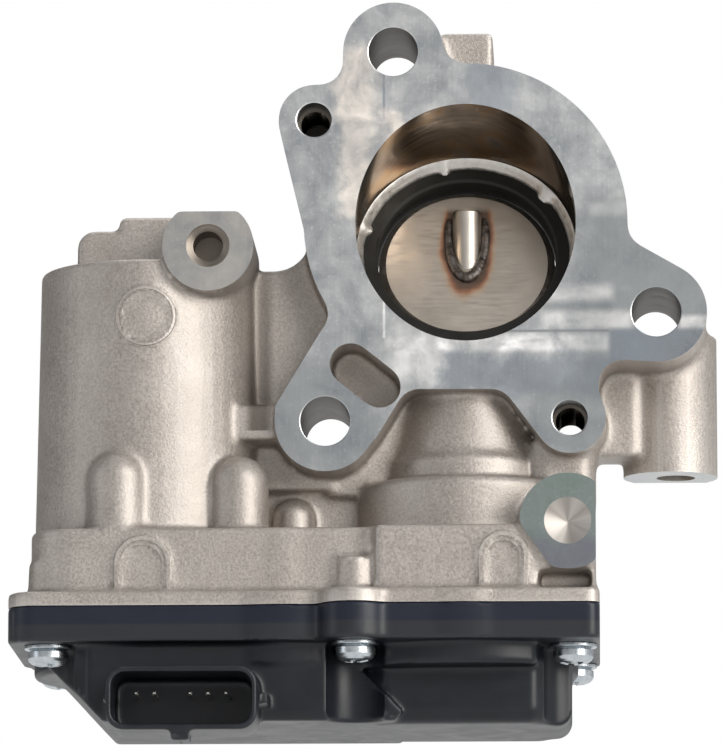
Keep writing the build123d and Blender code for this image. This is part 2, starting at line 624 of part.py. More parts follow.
def return_spring():
    """Torsion spring: the upper leg rests in the casting, the lower one in the sector gear."""
    path = Helix(pitch=COIL_PITCH, height=COIL_PITCH * COIL_TURNS, radius=COIL_R)
    start = Plane(origin=path @ 0, z_dir=path % 0)
    coil = Pos(0, 0, LEG_LOW) * sweep(start * Circle(WIRE_R), path=path, is_frenet=True)
    leg = Rot(0, 90, 0) * Cylinder(WIRE_R, LEG_REACH - COIL_R, align=LOW)
    coil += Pos(COIL_R, 0, LEG_TOP) * (leg + Sphere(WIRE_R))
    leg = Rot(0, -90, 0) * Cylinder(WIRE_R, COIL_R - LEG_INNER, align=LOW)
    coil += Pos(COIL_R, 0, LEG_LOW) * (leg + Sphere(WIRE_R))
    return at_spring_leg(coil)


# ---------------------------------------------------------------- gears
HUB_R = 8.0                  # lower hub of the sector gear, round the sensor magnet
DRUM_R = 10.3                # upper drum of the sector gear, holds the spring's lower leg
INSERT_R = 9.0
INSERT_Z = (-70.3, -68.8)
MAGNET_R = 4.0
MAGNET_Z = (-76.8, -73.8)
BUSH_WALL_R = 3.2            # outside of the bush in the intermediate gear
GEAR_BUSH_Z = (-74.1, -59.5)
MOTOR_SHAFT_R = 1.5


def sector_gear():
    face = gear_face(SECTOR_TEETH, MODULE_SLOW, 0.0, SECTOR_FIRST, SECTOR_COUNT)
    gear = upright(Pos(0, SHAFT_Y) * face, *SECTOR_Z)
    gear += post(0, SHAFT_Y, HUB_BOTTOM, SECTOR_Z[1], INSERT_R + 1.2) & post(
        0, SHAFT_Y, SECTOR_Z[0], SECTOR_Z[1], 30)
    gear += post(0, SHAFT_Y, HUB_BOTTOM, SECTOR_Z[1], HUB_R)
    drum_top = LEG_LOW + WIRE_R + 0.1
    gear += tube(0, SHAFT_Y, SECTOR_Z[1] - 0.5, drum_top - 0.2, DRUM_R, DRUM_R - 2)
    gear += post(0, SHAFT_Y, SECTOR_Z[1] - 0.5, BEARING_Z[0], SHAFT_R + 1.2)
    window = Circle(16.4) - Circle(12.4)
    reach = [(0, 0), polar(40, SECTOR_FIRST + 14), polar(40, 140), polar(40, SECTOR_LAST - 14)]
    window = window & make_face(Polyline(*reach, close=True))
    gear -= upright(Pos(0, SHAFT_Y) * window, SECTOR_Z[0] - 1, SECTOR_Z[1] + 1)
    leg_slot = (-WIRE_R - 0.2, WIRE_R + 0.2)
    gear -= at_spring_leg(block((DRUM_R - 3, DRUM_R + 1), leg_slot, (LEG_LOW - WIRE_R - 0.2, drum_top + 1)))
    gear -= post(0, SHAFT_Y, SHAFT_BOTTOM, BEARING_Z[0] + 1, SHAFT_R)
    gear -= post(0, SHAFT_Y, INSERT_Z[0], INSERT_Z[1], INSERT_R)
    return gear - post(0, SHAFT_Y, HUB_BOTTOM - 1, MAGNET_Z[1], MAGNET_R)


def gear_insert():
    return tube(0, SHAFT_Y, INSERT_Z[0], INSERT_Z[1], INSERT_R, SHAFT_R)


def sensor_magnet():
    return post(0, SHAFT_Y, MAGNET_Z[0], MAGNET_Z[1], MAGNET_R)


def intermediate_gear():
    wheel = gear_face(WHEEL_TEETH, MODULE_FAST, -FAST_SHIFT, 180 + FAST_STEP / 2)
    small = gear_face(SMALL_TEETH, MODULE_SLOW, 0.0, 0.0)
    gear = extrude(Pos(0, 0, WHEEL_Z[0]) * wheel, amount=WHEEL_Z[1] - WHEEL_Z[0])
    for low, high in ((WHEEL_Z[0] - 1, WHEEL_Z[0] + 1.6), (WHEEL_Z[1] - 1.6, WHEEL_Z[1] + 1)):
        gear -= Pos(0, 0, low) * (Cylinder(16.2, high - low, align=LOW) - Cylinder(11.2, high - low, align=LOW))
    for index in range(6):
        x, y = polar(13.7, 30 + index * 60)
        gear -= Pos(x, y, WHEEL_Z[0] - 1) * Cylinder(1.7, 10, align=LOW)
    gear += extrude(Pos(0, 0, SMALL_Z[0]) * small, amount=SMALL_Z[1] - SMALL_Z[0])
    gear -= Pos(0, 0, SMALL_Z[0] - 1) * Cylinder(BUSH_WALL_R, 30, align=LOW)
    return Pos(IDLER_X, SHAFT_Y) * gear


def intermediate_gear_bush():
    return tube(IDLER_X, SHAFT_Y, GEAR_BUSH_Z[0], GEAR_BUSH_Z[1], BUSH_WALL_R, PIN_R + RUNNING_GAP)


def intermediate_gear_pin():
    pin = post(IDLER_X, SHAFT_Y, PIN_BOTTOM, PIN_TOP, PIN_R)
    return chamfer(pin.edges().filter_by(GeomType.CIRCLE), 0.3)


PIN_BOTTOM = -80.0


# ---------------------------------------------------------------- motor
CAN_R = 16.2
CAN_BORE_R = 15.0
CAN_TOP = -11.6
CAN_ROOF = 1.2
CAN_CUP_R = 4.4
MOTOR_BUSH_R = 3.2
MOTOR_BUSH_LENGTH = 3.8
TOP_BUSH_Z = -15.8           # lower end of the upper armature bush
LOW_BUSH_Z = -58.2           # lower end of the lower armature bush
ARC_R = 12.2                 # inside of the magnets
CORE_R = 11.6
CORE_Z = (-44.0, -24.0)
CORE_SLOTS = 5
COMMUTATOR_R = 4.2
COMMUTATOR_Z = (-51.0, -46.5)
BRUSH_Z = (-50.5, -47.5)
BRUSH_WIDTH = 4.0
HOLDER_Z = (TRAY_CEILING, -54.3)
BLADE_SPOTS = [(-66.0, 20.0), (-66.0, 8.0)]
BLADE = (0.8, 5.0)


def at_motor(shape):
    return Pos(MOTOR_X, SHAFT_Y) * shape


def motor_can():
    can = tube(0, 0, TRAY_CEILING, CAN_TOP, CAN_R, CAN_BORE_R)
    can += post(0, 0, CAN_TOP - CAN_ROOF, CAN_TOP, CAN_R)
    can = fillet(can.edges().group_by(Axis.Z)[-1], 1.5)
    can += post(0, 0, TOP_BUSH_Z, CAN_TOP - CAN_ROOF, CAN_CUP_R)
    return at_motor(can - post(0, 0, TOP_BUSH_Z, TOP_BUSH_Z + MOTOR_BUSH_LENGTH, MOTOR_BUSH_R))


def motor_magnets():
    """Two ferrite arcs on the can's wall."""
    arcs = []
    for side in (90, 270):
        ring = Circle(CAN_BORE_R) - Circle(ARC_R)
        wedge = [(0, 0), polar(40, side - 60), polar(40, side), polar(40, side + 60)]
        arcs.append(at_motor(upright(ring & make_face(Polyline(*wedge, close=True)), -48, -20)))
    return Compound(children=arcs)


def motor_end_plate():
    plate = Circle(END_PLATE_R)
    for x, y in EAR_SPOTS:
        x, y = x - MOTOR_X, y - SHAFT_Y
        arm = Rot(0, 0, math.degrees(math.atan2(y, x))) * Rectangle(math.hypot(x, y), 1.5 * EAR_R)
        plate += Pos(x / 2, y / 2) * arm + Pos(x, y) * Circle(EAR_R)
    plate -= Circle(MOTOR_BUSH_R)
    for x, y in EAR_SPOTS:
        plate -= Pos(x - MOTOR_X, y - SHAFT_Y) * Circle(MOTOR_SCREW_R + 0.3)
    for x, y in BLADE_SPOTS:
        plate -= Pos(x - MOTOR_X, y - SHAFT_Y) * Rectangle(*BLADE)
    return at_motor(upright(plate, PLATE_LOW, TRAY_CEILING))


def brush_holder():
    holder = tube(0, 0, HOLDER_Z[0], HOLDER_Z[1], CAN_BORE_R, 5.5)
    for side in (0, 180):
        guide = block((5.4, 11.6), (-3.4, 3.4), (HOLDER_Z[1] - 0.2, BRUSH_Z[1] + 0.9))
        guide -= block((5, 12), (-BRUSH_WIDTH / 2, BRUSH_WIDTH / 2), BRUSH_Z)
        holder += Rot(0, 0, side) * guide
    for x, y in BLADE_SPOTS:
        holder -= Pos(x - MOTOR_X, y - SHAFT_Y, HOLDER_Z[0]) * Box(*BLADE, 10)
    return at_motor(holder)


def motor_brushes():
    brush = block((3, 9.5), (-BRUSH_WIDTH / 2, BRUSH_WIDTH / 2), BRUSH_Z)
    brush -= post(0, 0, -60, -40, COMMUTATOR_R + RUNNING_GAP)
    return Compound(children=[at_motor(brush), at_motor(Rot(0, 0, 180) * brush)])


def motor_bushes():
    return Compound(children=[
        tube(MOTOR_X, SHAFT_Y, low, low + MOTOR_BUSH_LENGTH, MOTOR_BUSH_R, MOTOR_SHAFT_R + RUNNING_GAP)
        for low in (TOP_BUSH_Z, LOW_BUSH_Z)])


def motor_wave_spring():
    """Curved spring washer between the can and the closed end of the barrel."""
    gauge = 0.4
    top, low = BARREL_BORE_TOP, CAN_TOP
    upper = ThreePointArc((-12, low + gauge), (0, top), (12, low + gauge))
    lower = ThreePointArc((12, low), (0, top - gauge), (-12, low))
    strip = make_face([upper, Line((12, low + gauge), (12, low)), lower, Line((-12, low), (-12, low + gauge))])
    washer = inward(strip, -13, 13) & (post(0, 0, -20, 0, 11.9) - post(0, 0, -20, 0, 8.5))
    return at_motor(washer)


def motor_screws():
    screws = []
    for x, y in EAR_SPOTS:
        screw = post(x, y, PLATE_LOW, TRAY_CEILING + 8, MOTOR_SCREW_R)
        screw += post(x, y, PLATE_LOW - 1.8, PLATE_LOW, 2.75)
        screw -= Pos(x, y, PLATE_LOW - 1.8) * extrude(RegularPolygon(1.2, 6), amount=1.1)
        screws.append(screw)
    return Compound(children=screws)


def motor_contacts():
    blades = [Pos(x, y, (HOLDER_Z[1] + BLADE_BOTTOM) / 2) * Box(*BLADE, HOLDER_Z[1] - BLADE_BOTTOM)
              for x, y in BLADE_SPOTS]
    return Compound(children=blades)


BLADE_BOTTOM = -70.0


def motor_shaft():
    shaft = post(MOTOR_X, SHAFT_Y, -67.0, -12.3, MOTOR_SHAFT_R)
    return chamfer(shaft.edges().filter_by(GeomType.CIRCLE), 0.2)


def core_slot(index):
    """One winding slot of the armature, open at the rim, in plan."""
    slot = Pos(8.2, 0) * Rectangle(4.4, 5.2) + Pos(11, 0) * Rectangle(3, 1.6)
    return Rot(0, 0, 36 + index * 360 / CORE_SLOTS) * slot


def armature_core():
    face = Circle(CORE_R) - Circle(MOTOR_SHAFT_R)
    for index in range(CORE_SLOTS):
        face -= core_slot(index)
    return at_motor(upright(face, *CORE_Z))


def armature_windings():
    """Copper coils: two end turns joined through the slots of the core."""
    low, high = CORE_Z
    coil = tube(0, 0, low - 2.3, low, 11.0, 5.2) + tube(0, 0, high, high + 2.3, 11.0, 5.2)
    for index in range(CORE_SLOTS):
        fill = Rot(0, 0, 36 + index * 360 / CORE_SLOTS) * Pos(8.2, 0) * Rectangle(4.4, 5.2)
        coil += upright(fill, low - 0.5, high + 0.5)
    coil = coil - post(0, 0, low - 4, high + 4, 5.2)
    return at_motor(coil)


def commutator():
    ring = Circle(COMMUTATOR_R) - Circle(MOTOR_SHAFT_R)
    for index in range(CORE_SLOTS):
        ring -= Rot(0, 0, index * 360 / CORE_SLOTS) * Pos(COMMUTATOR_R - 0.3, 0) * Rectangle(1.4, 0.4)
    return at_motor(upright(ring, *COMMUTATOR_Z))


def motor_pinion():
    face = gear_face(PINION_TEETH, MODULE_FAST, FAST_SHIFT, 0.0) - Circle(MOTOR_SHAFT_R)
    return at_motor(upright(face, *PINION_Z))


# ---------------------------------------------------------------- cover
COVER_HOLE_R = 2.2
WASHER, WASHER_R = 0.85, 4.1                               # washer of a cover screw: thickness, radius
HEAD, HEAD_R = 3.3, 3.4
POCKET_R = 4.9               # screw pockets
SOCKET_X = (-59.75, -34.45)
SOCKET_Z = (-88.6, -78.0)
SOCKET_Y = (-18.0, -4.6)
SOCKET_WALL = 1.0
SOCKET_DEPTH = 11.5
PIN_SIDE = 0.64              # terminals
PIN_XS = [-54.8, -51.8, -45.8, -42.8, -39.8]
PIN_Z = -82.3
LATCH_X = (-48.95, -45.85)
LATCH_BOTTOM = -90.3
GASKET = (0.6, 2.0)          # offsets of the gasket outside the chamber outline
GASKET_LOW = -68.3
BOARD_R = 11.0
BOARD_Z = (-81.5, -80.3)
CHIP_TOP = -78.9
DRUM_FLOOR = DRUM_BOTTOM + COVER_WALL
DOME_FLOOR = DOME_BOTTOM + COVER_WALL


def drum_outline():
    points = [(-17, -1.0), (-13.5, -4.4), (11.4, -5.2), (17.7, 1.0), (17.7, 23), (13, 28), (-13, 28), (-17, 24)]
    return fillet(make_face(Polyline(*points, close=True)).vertices(), 2.0)


def dome_outline():
    points = [(-63.4, -7.6), (-70.8, -0.4), (-70.8, 24), (-64, 30.6), (-8, 30.6), (-8, -7.6)]
    sketch = make_face(Polyline(*points, close=True))
    return fillet(sketch.vertices().filter_by(lambda v: v.X < -60), 1.6)


def dome_profile(shrink):
    """Front view of the dome: leaning left end, leaning right end."""
    points = [(-71.2 + shrink, -70), (-70.9 + shrink, -75.6), (-61.0 + shrink, DOME_BOTTOM + shrink),
              (-11.9 - shrink, DOME_BOTTOM + shrink), (-10.6 - shrink, DOME_BOTTOM + 1.4 + shrink),
              (-18.6 - shrink, -76), (-18.6 - shrink, -70)]
    return inward(make_face(Polyline(*points, close=True)), -20, 50)


def cover_shell():
    flange_low = JOINT_Z - COVER_FLANGE
    outline = rim_outline()
    shell = upright(outline, flange_low, JOINT_Z)
    step = upright(offset(chamber_outline(), COVER_WALL), STEP_BOTTOM, flange_low)
    shell += chamfer(step.edges().group_by(Axis.Z)[0], 0.5)
    dome = upright(dome_outline(), DOME_BOTTOM, flange_low) & dome_profile(0)
    dome = chamfer(dome.edges().group_by(Axis.Z)[0].group_by(Axis.Y)[0], 1.2)
    shell += dome
    drum = upright(drum_outline(), DRUM_BOTTOM, flange_low)
    shell += fillet(drum.edges().group_by(Axis.Z)[0], 2.6)
    return shell


def cover_cavity():
    flange_low = JOINT_Z - COVER_FLANGE
    cavity = upright(chamber_outline(), STEP_BOTTOM + COVER_WALL, JOINT_Z + 1)
    dome = upright(offset(dome_outline(), -COVER_WALL), DOME_FLOOR, flange_low - 0.4) & dome_profile(COVER_WALL)
    drum = upright(offset(drum_outline(), -COVER_WALL), DRUM_FLOOR, flange_low - 0.4)
    rooms = dome + drum
    for x, y in SCREW_SPOTS:
        rooms -= post(x, y, -90, -60, POCKET_R + COVER_WALL)
    return cavity + rooms


def socket_body():
    """Plug socket with its latch rib underneath and a key at each side."""
    width = SOCKET_X[1] - SOCKET_X[0]
    height = SOCKET_Z[1] - SOCKET_Z[0]
    face = Pos(sum(SOCKET_X) / 2, sum(SOCKET_Z) / 2) * RectangleRounded(width, height, 3.0)
    body = inward(face, *SOCKET_Y)
    rib = block(LATCH_X, (SOCKET_Y[0], -10), (LATCH_BOTTOM, SOCKET_Z[0] + 1))
    body += chamfer(rib.edges().filter_by(Axis.X).group_by(Axis.Z)[0].group_by(Axis.Y)[0], 1.2)
    body += block((SOCKET_X[1] - 0.5, SOCKET_X[1] + 1.5), (-15, -6), (-84, -82.2))
    return body + block((SOCKET_X[0] - 0.7, SOCKET_X[0] + 0.5), (-15, -6), (-83.6, -82.6))


def socket_cavity():
    width = SOCKET_X[1] - SOCKET_X[0] - 2 * SOCKET_WALL
    height = SOCKET_Z[1] - SOCKET_Z[0] - 2 * SOCKET_WALL
    face = Pos(sum(SOCKET_X) / 2, sum(SOCKET_Z) / 2) * RectangleRounded(width, height, 2.2)
    return inward(face, SOCKET_Y[0] - 1, SOCKET_Y[0] + SOCKET_DEPTH)


def gear_cover():
    cover = cover_shell() + socket_body()
    cover -= cover_cavity()
    cover -= socket_cavity()
    groove = upright(gasket_face(), GASKET_LOW, JOINT_Z + 1)
    cover -= groove
    # boss for the pin, posts for the sensor board
    cover += post(IDLER_X, SHAFT_Y, DOME_FLOOR - 0.3, GEAR_BUSH_Z[0] - SMALL_GAP, PIN_R + 2.2)
    for angle in (45, 135, 225, 315):
        x, y = polar(BOARD_R - 1.5, angle)
        cover += post(x, SHAFT_Y + y, DRUM_FLOOR - 0.3, BOARD_Z[0], 1.6)
    cover -= post(IDLER_X, SHAFT_Y, PIN_BOTTOM, -60, PIN_R)
    for x, y in SCREW_SPOTS:
        cover -= post(x, y, -90, -60, COVER_HOLE_R)
        cover -= post(x, y, -92, JOINT_Z - COVER_FLANGE, POCKET_R)
    for x in PIN_XS:
        cover -= terminal(x)
    return cover


def gasket_face():
    outline = chamber_outline()
    return offset(outline, GASKET[1]) - offset(outline, GASKET[0])


def cover_gasket():
    return upright(gasket_face(), GASKET_LOW, JOINT_Z)


def terminal(x):
    """Square terminal: blade in the socket, through its back wall, bent up inside the cover."""
    half = PIN_SIDE / 2
    blade = block((x - half, x + half), (-15.4, -2.6), (PIN_Z - half, PIN_Z + half))
    blade = chamfer(blade.edges().group_by(Axis.Y)[0], 0.18)
    return blade + block((x - half, x + half), (-2.6 - PIN_SIDE, -2.6), (PIN_Z, -76.0))


def connector_pins():
    return Compound(children=[terminal(x) for x in PIN_XS])


def sensor_board():
    return post(0, SHAFT_Y, BOARD_Z[0], BOARD_Z[1], BOARD_R)


def sensor_chip():
    return block((-3, 3), (SHAFT_Y - 2.5, SHAFT_Y + 2.5), (BOARD_Z[1], CHIP_TOP))


def cover_screws():
    """Thread-forming screws with a fixed washer."""
    screws = []
    under = JOINT_Z - COVER_FLANGE
    for x, y in SCREW_SPOTS:
        screw = post(x, y, under - 1, JOINT_Z + SCREW_REACH, SCREW_CORE_R)
        screw += post(x, y, under - WASHER, under, WASHER_R)
        head = post(x, y, under - WASHER - HEAD, under - WASHER, HEAD_R)
        screw += fillet(head.edges().group_by(Axis.Z)[0], 1.1)
        screw -= Pos(x, y, under - WASHER - HEAD) * extrude(RegularPolygon(1.6, 6), amount=2.2)
        screws.append(screw)
    return Compound(children=screws)


# ---------------------------------------------------------------- export
for builder in (
        valve_body, seat_ring, upper_shaft_bush, shaft_seal, bearing_outer_ring, bearing_inner_ring,
        bearing_balls, motor_can, motor_magnets, motor_end_plate, brush_holder, motor_brushes,
        motor_bushes, motor_wave_spring, motor_screws, intermediate_gear_pin, return_spring,
        spring_sleeve, gear_cover, cover_gasket, connector_pins, motor_contacts, sensor_board,
        sensor_chip, cover_screws, valve_shaft, valve_disc, weld_bead, sector_gear, gear_insert,
        sensor_magnet, intermediate_gear, intermediate_gear_bush, motor_shaft, armature_core,
        armature_windings, commutator, motor_pinion):
    parts[builder.__name__] = builder()

os.makedirs("parts", exist_ok=True)
for name, shape in parts.items():
    export_step(shape, f"parts/{name}.step")
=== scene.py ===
import math
import bmesh
import bpy
import numpy as np
from mathutils import Matrix, Vector


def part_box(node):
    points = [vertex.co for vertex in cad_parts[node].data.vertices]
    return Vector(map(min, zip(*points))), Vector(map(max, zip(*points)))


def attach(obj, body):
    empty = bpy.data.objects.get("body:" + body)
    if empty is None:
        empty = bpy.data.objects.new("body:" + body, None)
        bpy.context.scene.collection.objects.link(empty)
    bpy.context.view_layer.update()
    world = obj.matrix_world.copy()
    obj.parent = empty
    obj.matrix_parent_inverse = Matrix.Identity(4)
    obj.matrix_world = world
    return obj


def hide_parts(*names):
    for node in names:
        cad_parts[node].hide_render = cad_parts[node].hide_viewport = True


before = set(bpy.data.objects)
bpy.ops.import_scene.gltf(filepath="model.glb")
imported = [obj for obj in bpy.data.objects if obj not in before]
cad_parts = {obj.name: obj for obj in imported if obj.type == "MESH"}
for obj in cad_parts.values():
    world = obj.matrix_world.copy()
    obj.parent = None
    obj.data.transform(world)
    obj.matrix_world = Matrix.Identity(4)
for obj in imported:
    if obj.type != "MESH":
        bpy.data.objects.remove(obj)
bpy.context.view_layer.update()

# ---------------- view and studio
# Long lens, a little below the part's middle and turned slightly to its left.
# White surroundings, five soft lamps and a white table that is seen through from below.
AZIMUTH, ELEVATION = math.radians(1.96), math.radians(9.2)
FOCAL_PIXELS, PICTURE_HEIGHT_PIXELS, SENSOR = 6900, 745, 36
STANDPOINT = (0.021757, -1.156208, -0.213270)


def linked(name, data):
    """New object with this data, linked to the scene."""
    made = bpy.data.objects.new(name, data)
    bpy.context.scene.collection.objects.link(made)
    return made


camera_data = bpy.data.cameras.new("studio_camera")
camera_data.lens = FOCAL_PIXELS / PICTURE_HEIGHT_PIXELS * SENSOR
camera_data.sensor_width = camera_data.sensor_height = SENSOR
camera_data.clip_start, camera_data.clip_end = 0.05, 20
camera = linked("studio_camera", camera_data)
sa, ca, se, ce = math.sin(AZIMUTH), math.cos(AZIMUTH), math.sin(ELEVATION), math.cos(ELEVATION)
right, up, back = (ca, sa, 0), (sa * se, -ca * se, ce), (sa * ce, -ca * ce, -se)
camera.matrix_world = Matrix([[right[i], up[i], back[i], STANDPOINT[i]] for i in range(3)] + [[0, 0, 0, 1]])
bpy.context.scene.camera = camera
bpy.context.scene.view_settings.view_transform = "Standard"


def tone(hex_colour):
    """sRGB hex to the linear colour that the shader takes."""
    values = [int(hex_colour[i:i + 2], 16) / 255 for i in (1, 3, 5)]
    return [v / 12.92 if v <= 0.04045 else ((v + 0.055) / 1.055) ** 2.4 for v in values] + [1.0]


def feed(node, inputs):
    """Fills or links inputs by name or number. A node given as the value is linked by its output in use."""
    for key, value in dict(inputs).items():
        if isinstance(value, bpy.types.Node):
            value = next(output for output in value.outputs if output.enabled)
        if isinstance(value, bpy.types.NodeSocket):
            node.id_data.links.new(value, node.inputs[key])
        else:
            node.inputs[key].default_value = value


def add(tree, kind, inputs=(), **settings):
    """Adds a shader node of this kind, sets its properties, and feeds its inputs."""
    made = tree.nodes.new("ShaderNode" + kind)
    for key, value in settings.items():
        setattr(made, key, value)
    feed(made, inputs)
    return made


def lamp(name, spot, aim, size, watts, colour="#ffffff"):
    """Soft rectangular lamp at spot, turned to aim."""
    data = bpy.data.lights.new(name, "AREA")
    data.shape, data.size, data.size_y = "RECTANGLE", size[0], size[1]
    data.energy, data.color = watts, tone(colour)[:3]
    made = linked(name, data)
    made.location = spot
    made.rotation_euler = (Vector(spot) - Vector(aim)).to_track_quat("Z", "Y").to_euler()


lamp("key_lamp", (0.85, -0.78, 0.1), (-0.01, 0, -0.02), (0.75, 0.8), 11.0, "#fffcf7")
lamp("front_lamp", (0.62, -0.95, 0.62), (-0.01, 0, -0.02), (0.55, 0.4), 4.5)
lamp("side_lamp", (-0.95, -0.35, 0.3), (-0.01, 0, -0.03), (0.4, 0.7), 1.3, "#f7faff")
lamp("top_lamp", (0.1, 0.2, 0.95), (-0.01, 0, 0), (0.9, 0.6), 3.8)
lamp("low_lamp", (0.15, -0.95, -0.55), (-0.01, 0, -0.04), (0.8, 0.35), 3.0)


def bare_tree(owner):
    """Empty node tree of a new material or world."""
    owner.use_nodes = True
    owner.node_tree.nodes.clear()
    return owner.node_tree


bpy.context.scene.world = bpy.data.worlds.new("white_studio")
tree = bare_tree(bpy.context.scene.world)
path = add(tree, "LightPath")
seen = add(tree, "Math", {0: path.outputs["Is Camera Ray"], 1: path.outputs["Is Transmission Ray"]},
           operation="MAXIMUM")
sky = add(tree, "TexCoord").outputs["Generated"]
turned = add(tree, "Mapping", {"Vector": sky, "Rotation": (0, 0, math.radians(28))})
sides = add(tree, "SeparateXYZ", {0: turned})
level = add(tree, "MapRange", {0: sides.outputs["X"], 1: -0.75, 2: 0.75, 3: 0.26, 4: 0.7})
dim = add(tree, "Background", {"Color": tone("#f3f3f4"), "Strength": level})
white = add(tree, "Background", {"Color": (1, 1, 1, 1), "Strength": 1.0})
both = add(tree, "MixShader", {0: seen, 1: dim, 2: white})
add(tree, "OutputWorld", {"Surface": both})


def mesh_of(name, points, faces):
    """Mesh object at the origin from an array of points and an array or list of faces."""
    data = bpy.data.meshes.new(name)
    data.from_pydata([tuple(p) for p in np.asarray(points, float).tolist()], [], [tuple(f) for f in faces])
    return linked(name, data)


def finish_of(name, metallic=0.0, roughness=0.4, ior=None):
    """New material with one shader, and its place on the object; returns material, tree, shader, place."""
    made = bpy.data.materials.new(name)
    tree = bare_tree(made)
    shader = add(tree, "BsdfPrincipled", {"Metallic": metallic, "Roughness": roughness})
    if ior:
        feed(shader, {"IOR": ior})
    add(tree, "OutputMaterial", {"Surface": shader})
    return made, tree, shader, add(tree, "TexCoord").outputs["Object"]


def lay_on(shader, colour, wear, rough, relief, height, strength=0.5, lean=None):
    """Joins a finish to its shader: its colour; the first to the second roughness as the wear pattern goes
    from 0.3 to 0.7; and a relief pattern this many metres high, on a normal that may lean."""
    tree = shader.id_data
    feed(shader, {"Base Color": colour})
    if rough:
        worn = add(tree, "MapRange", {0: wear, 1: 0.3, 2: 0.7, 3: rough[0], 4: rough[1]})
        feed(shader, {"Roughness": worn})
    if height:
        bump = add(tree, "Bump", {"Height": relief, "Distance": height, "Strength": strength})
        feed(bump, {"Normal": lean} if lean else {})
        feed(shader, {"Normal": bump})


TABLE_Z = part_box("gear_cover")[0].z
table = mesh_of("studio_table", [(-1.6, -1.2, TABLE_Z), (1.6, -1.2, TABLE_Z), (1.6, 1.6, TABLE_Z),
                                 (-1.6, 1.6, TABLE_Z)], [(0, 1, 2, 3)])
finish = bpy.data.materials.new("white_table")
tree = bare_tree(finish)
face = add(tree, "NewGeometry")
path = add(tree, "LightPath")
paint = add(tree, "BsdfDiffuse", {"Color": tone("#f4f4f2")})
glow = add(tree, "Emission", {"Color": (1, 1, 1, 1), "Strength": 0.9})
seen = add(tree, "Math", {0: path.outputs["Is Glossy Ray"], 1: path.outputs["Is Transmission Ray"]},
           operation="MAXIMUM")
top = add(tree, "MixShader", {0: seen, 1: paint, 2: glow})
clear = add(tree, "BsdfTransparent")
sides = add(tree, "MixShader", {0: face.outputs["Backfacing"], 1: top, 2: clear})
add(tree, "OutputMaterial", {"Surface": sides})
table.data.materials.append(finish)

# ---------------- valve body
# High-pressure die casting in an aluminium-silicon alloy, left as cast outside, with grain from the
# blasted die and soft inside corners. Its flange, pads, joint rim and bores are milled afterwards.
CAST_VOXEL, CAST_ROUNDS = ((0.00042, 14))
STOCK = 0.0012


def reworked(data, work):
    """Runs bmesh work on a mesh."""
    shell = bmesh.new()
    shell.from_mesh(data)
    work(shell)
    shell.to_mesh(data)
    shell.free()


def merged_copy(node):
    """Copy of a CAD node's mesh with its loose triangles joined, as a new object at the origin."""
    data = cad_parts[node].data.copy()
    data.materials.clear()
    reworked(data, lambda shell: bmesh.ops.remove_doubles(shell, verts=shell.verts, dist=2e-6))
    return linked(node + "_surface", data)


def values_of(items, field, width=1, kind=np.int32):
    """One property of all vertices, edges, faces or corners of a mesh, as an array."""
    values = np.empty(len(items) * width, kind)
    items.foreach_get(field, values)
    return values


def points_of(thing):
    """Vertices as an array of rows x, y, z."""
    return values_of(thing.data.vertices, "co", 3, np.float32).reshape(-1, 3).astype(float)


def set_points(thing, co):
    """Moves the vertices to these rows x, y, z."""
    thing.data.vertices.foreach_set("co", np.asarray(co, np.float32).ravel())
    thing.data.update()


def settle(thing, name, kind, **settings):
    """Adds one modifier and applies it to the mesh."""
    step = thing.modifiers.new(name, kind)
    for key, value in settings.items():
        setattr(step, key, value)
    bpy.context.view_layer.update()
    graph = bpy.context.evaluated_depsgraph_get()
    done = bpy.data.meshes.new_from_object(thing.evaluated_get(graph))
    thing.modifiers.clear()
    thing.data = done


def sums_at(places, amounts, count):
    """For each of count places, the sum of the x, y and z amounts that belong to it."""
    return np.stack([np.bincount(places, amounts[:, k], count) for k in range(3)], 1)


def normals_of(co, faces):
    """Area-weighted vertex normals of a quad mesh: the sum of the faces' diagonal cross products."""
    a, b, c, d = (co[faces[:, k]] for k in range(4))
    out = sums_at(faces.ravel(), np.repeat(np.cross(c - a, d - b), 4, 0), len(co))
    return out / np.maximum(np.linalg.norm(out, axis=1, keepdims=True), 1e-12)


def relax(thing, rounds, inward, step=0.6):
    """Moves each point a step towards the mean of its neighbours: freely where that adds material in a
    corner, and by the inward share where it takes it off an edge."""
    one, two = values_of(thing.data.edges, "vertices", 2).reshape(-1, 2).T
    faces = values_of(thing.data.loops, "vertex_index").reshape(-1, 4)
    co = points_of(thing)
    ends = np.concatenate([one, two])
    count = np.bincount(ends, minlength=len(co))[:, None]
    for index in range(rounds):
        mean = sums_at(ends, np.concatenate([co[two], co[one]]), len(co)) / count
        if index % 4 == 0:
            normal = normals_of(co, faces)
        move = mean - co
        along = (move * normal).sum(1, keepdims=True)
        share = np.where(along > 0, 1.0, inward)
        co = co + step * (move - along * normal * (1 - share))
    set_points(thing, co)


def softened(thing, voxel, rounds, inward, most):
    """Remeshes a CAD copy in voxels, relaxes it, and collapses edges until it has at most this many
    triangles."""
    settle(thing, "grid", "REMESH", mode="VOXEL", voxel_size=voxel, adaptivity=0)
    relax(thing, rounds, inward)
    triangles = sum(len(face.vertices) - 2 for face in thing.data.polygons)
    settle(thing, "thin", "DECIMATE", ratio=min(1.0, most / triangles))


def face_out(thing):
    """Turns every face of a closed mesh outwards."""
    reworked(thing.data, lambda shell: bmesh.ops.recalc_face_normals(shell, faces=shell.faces))


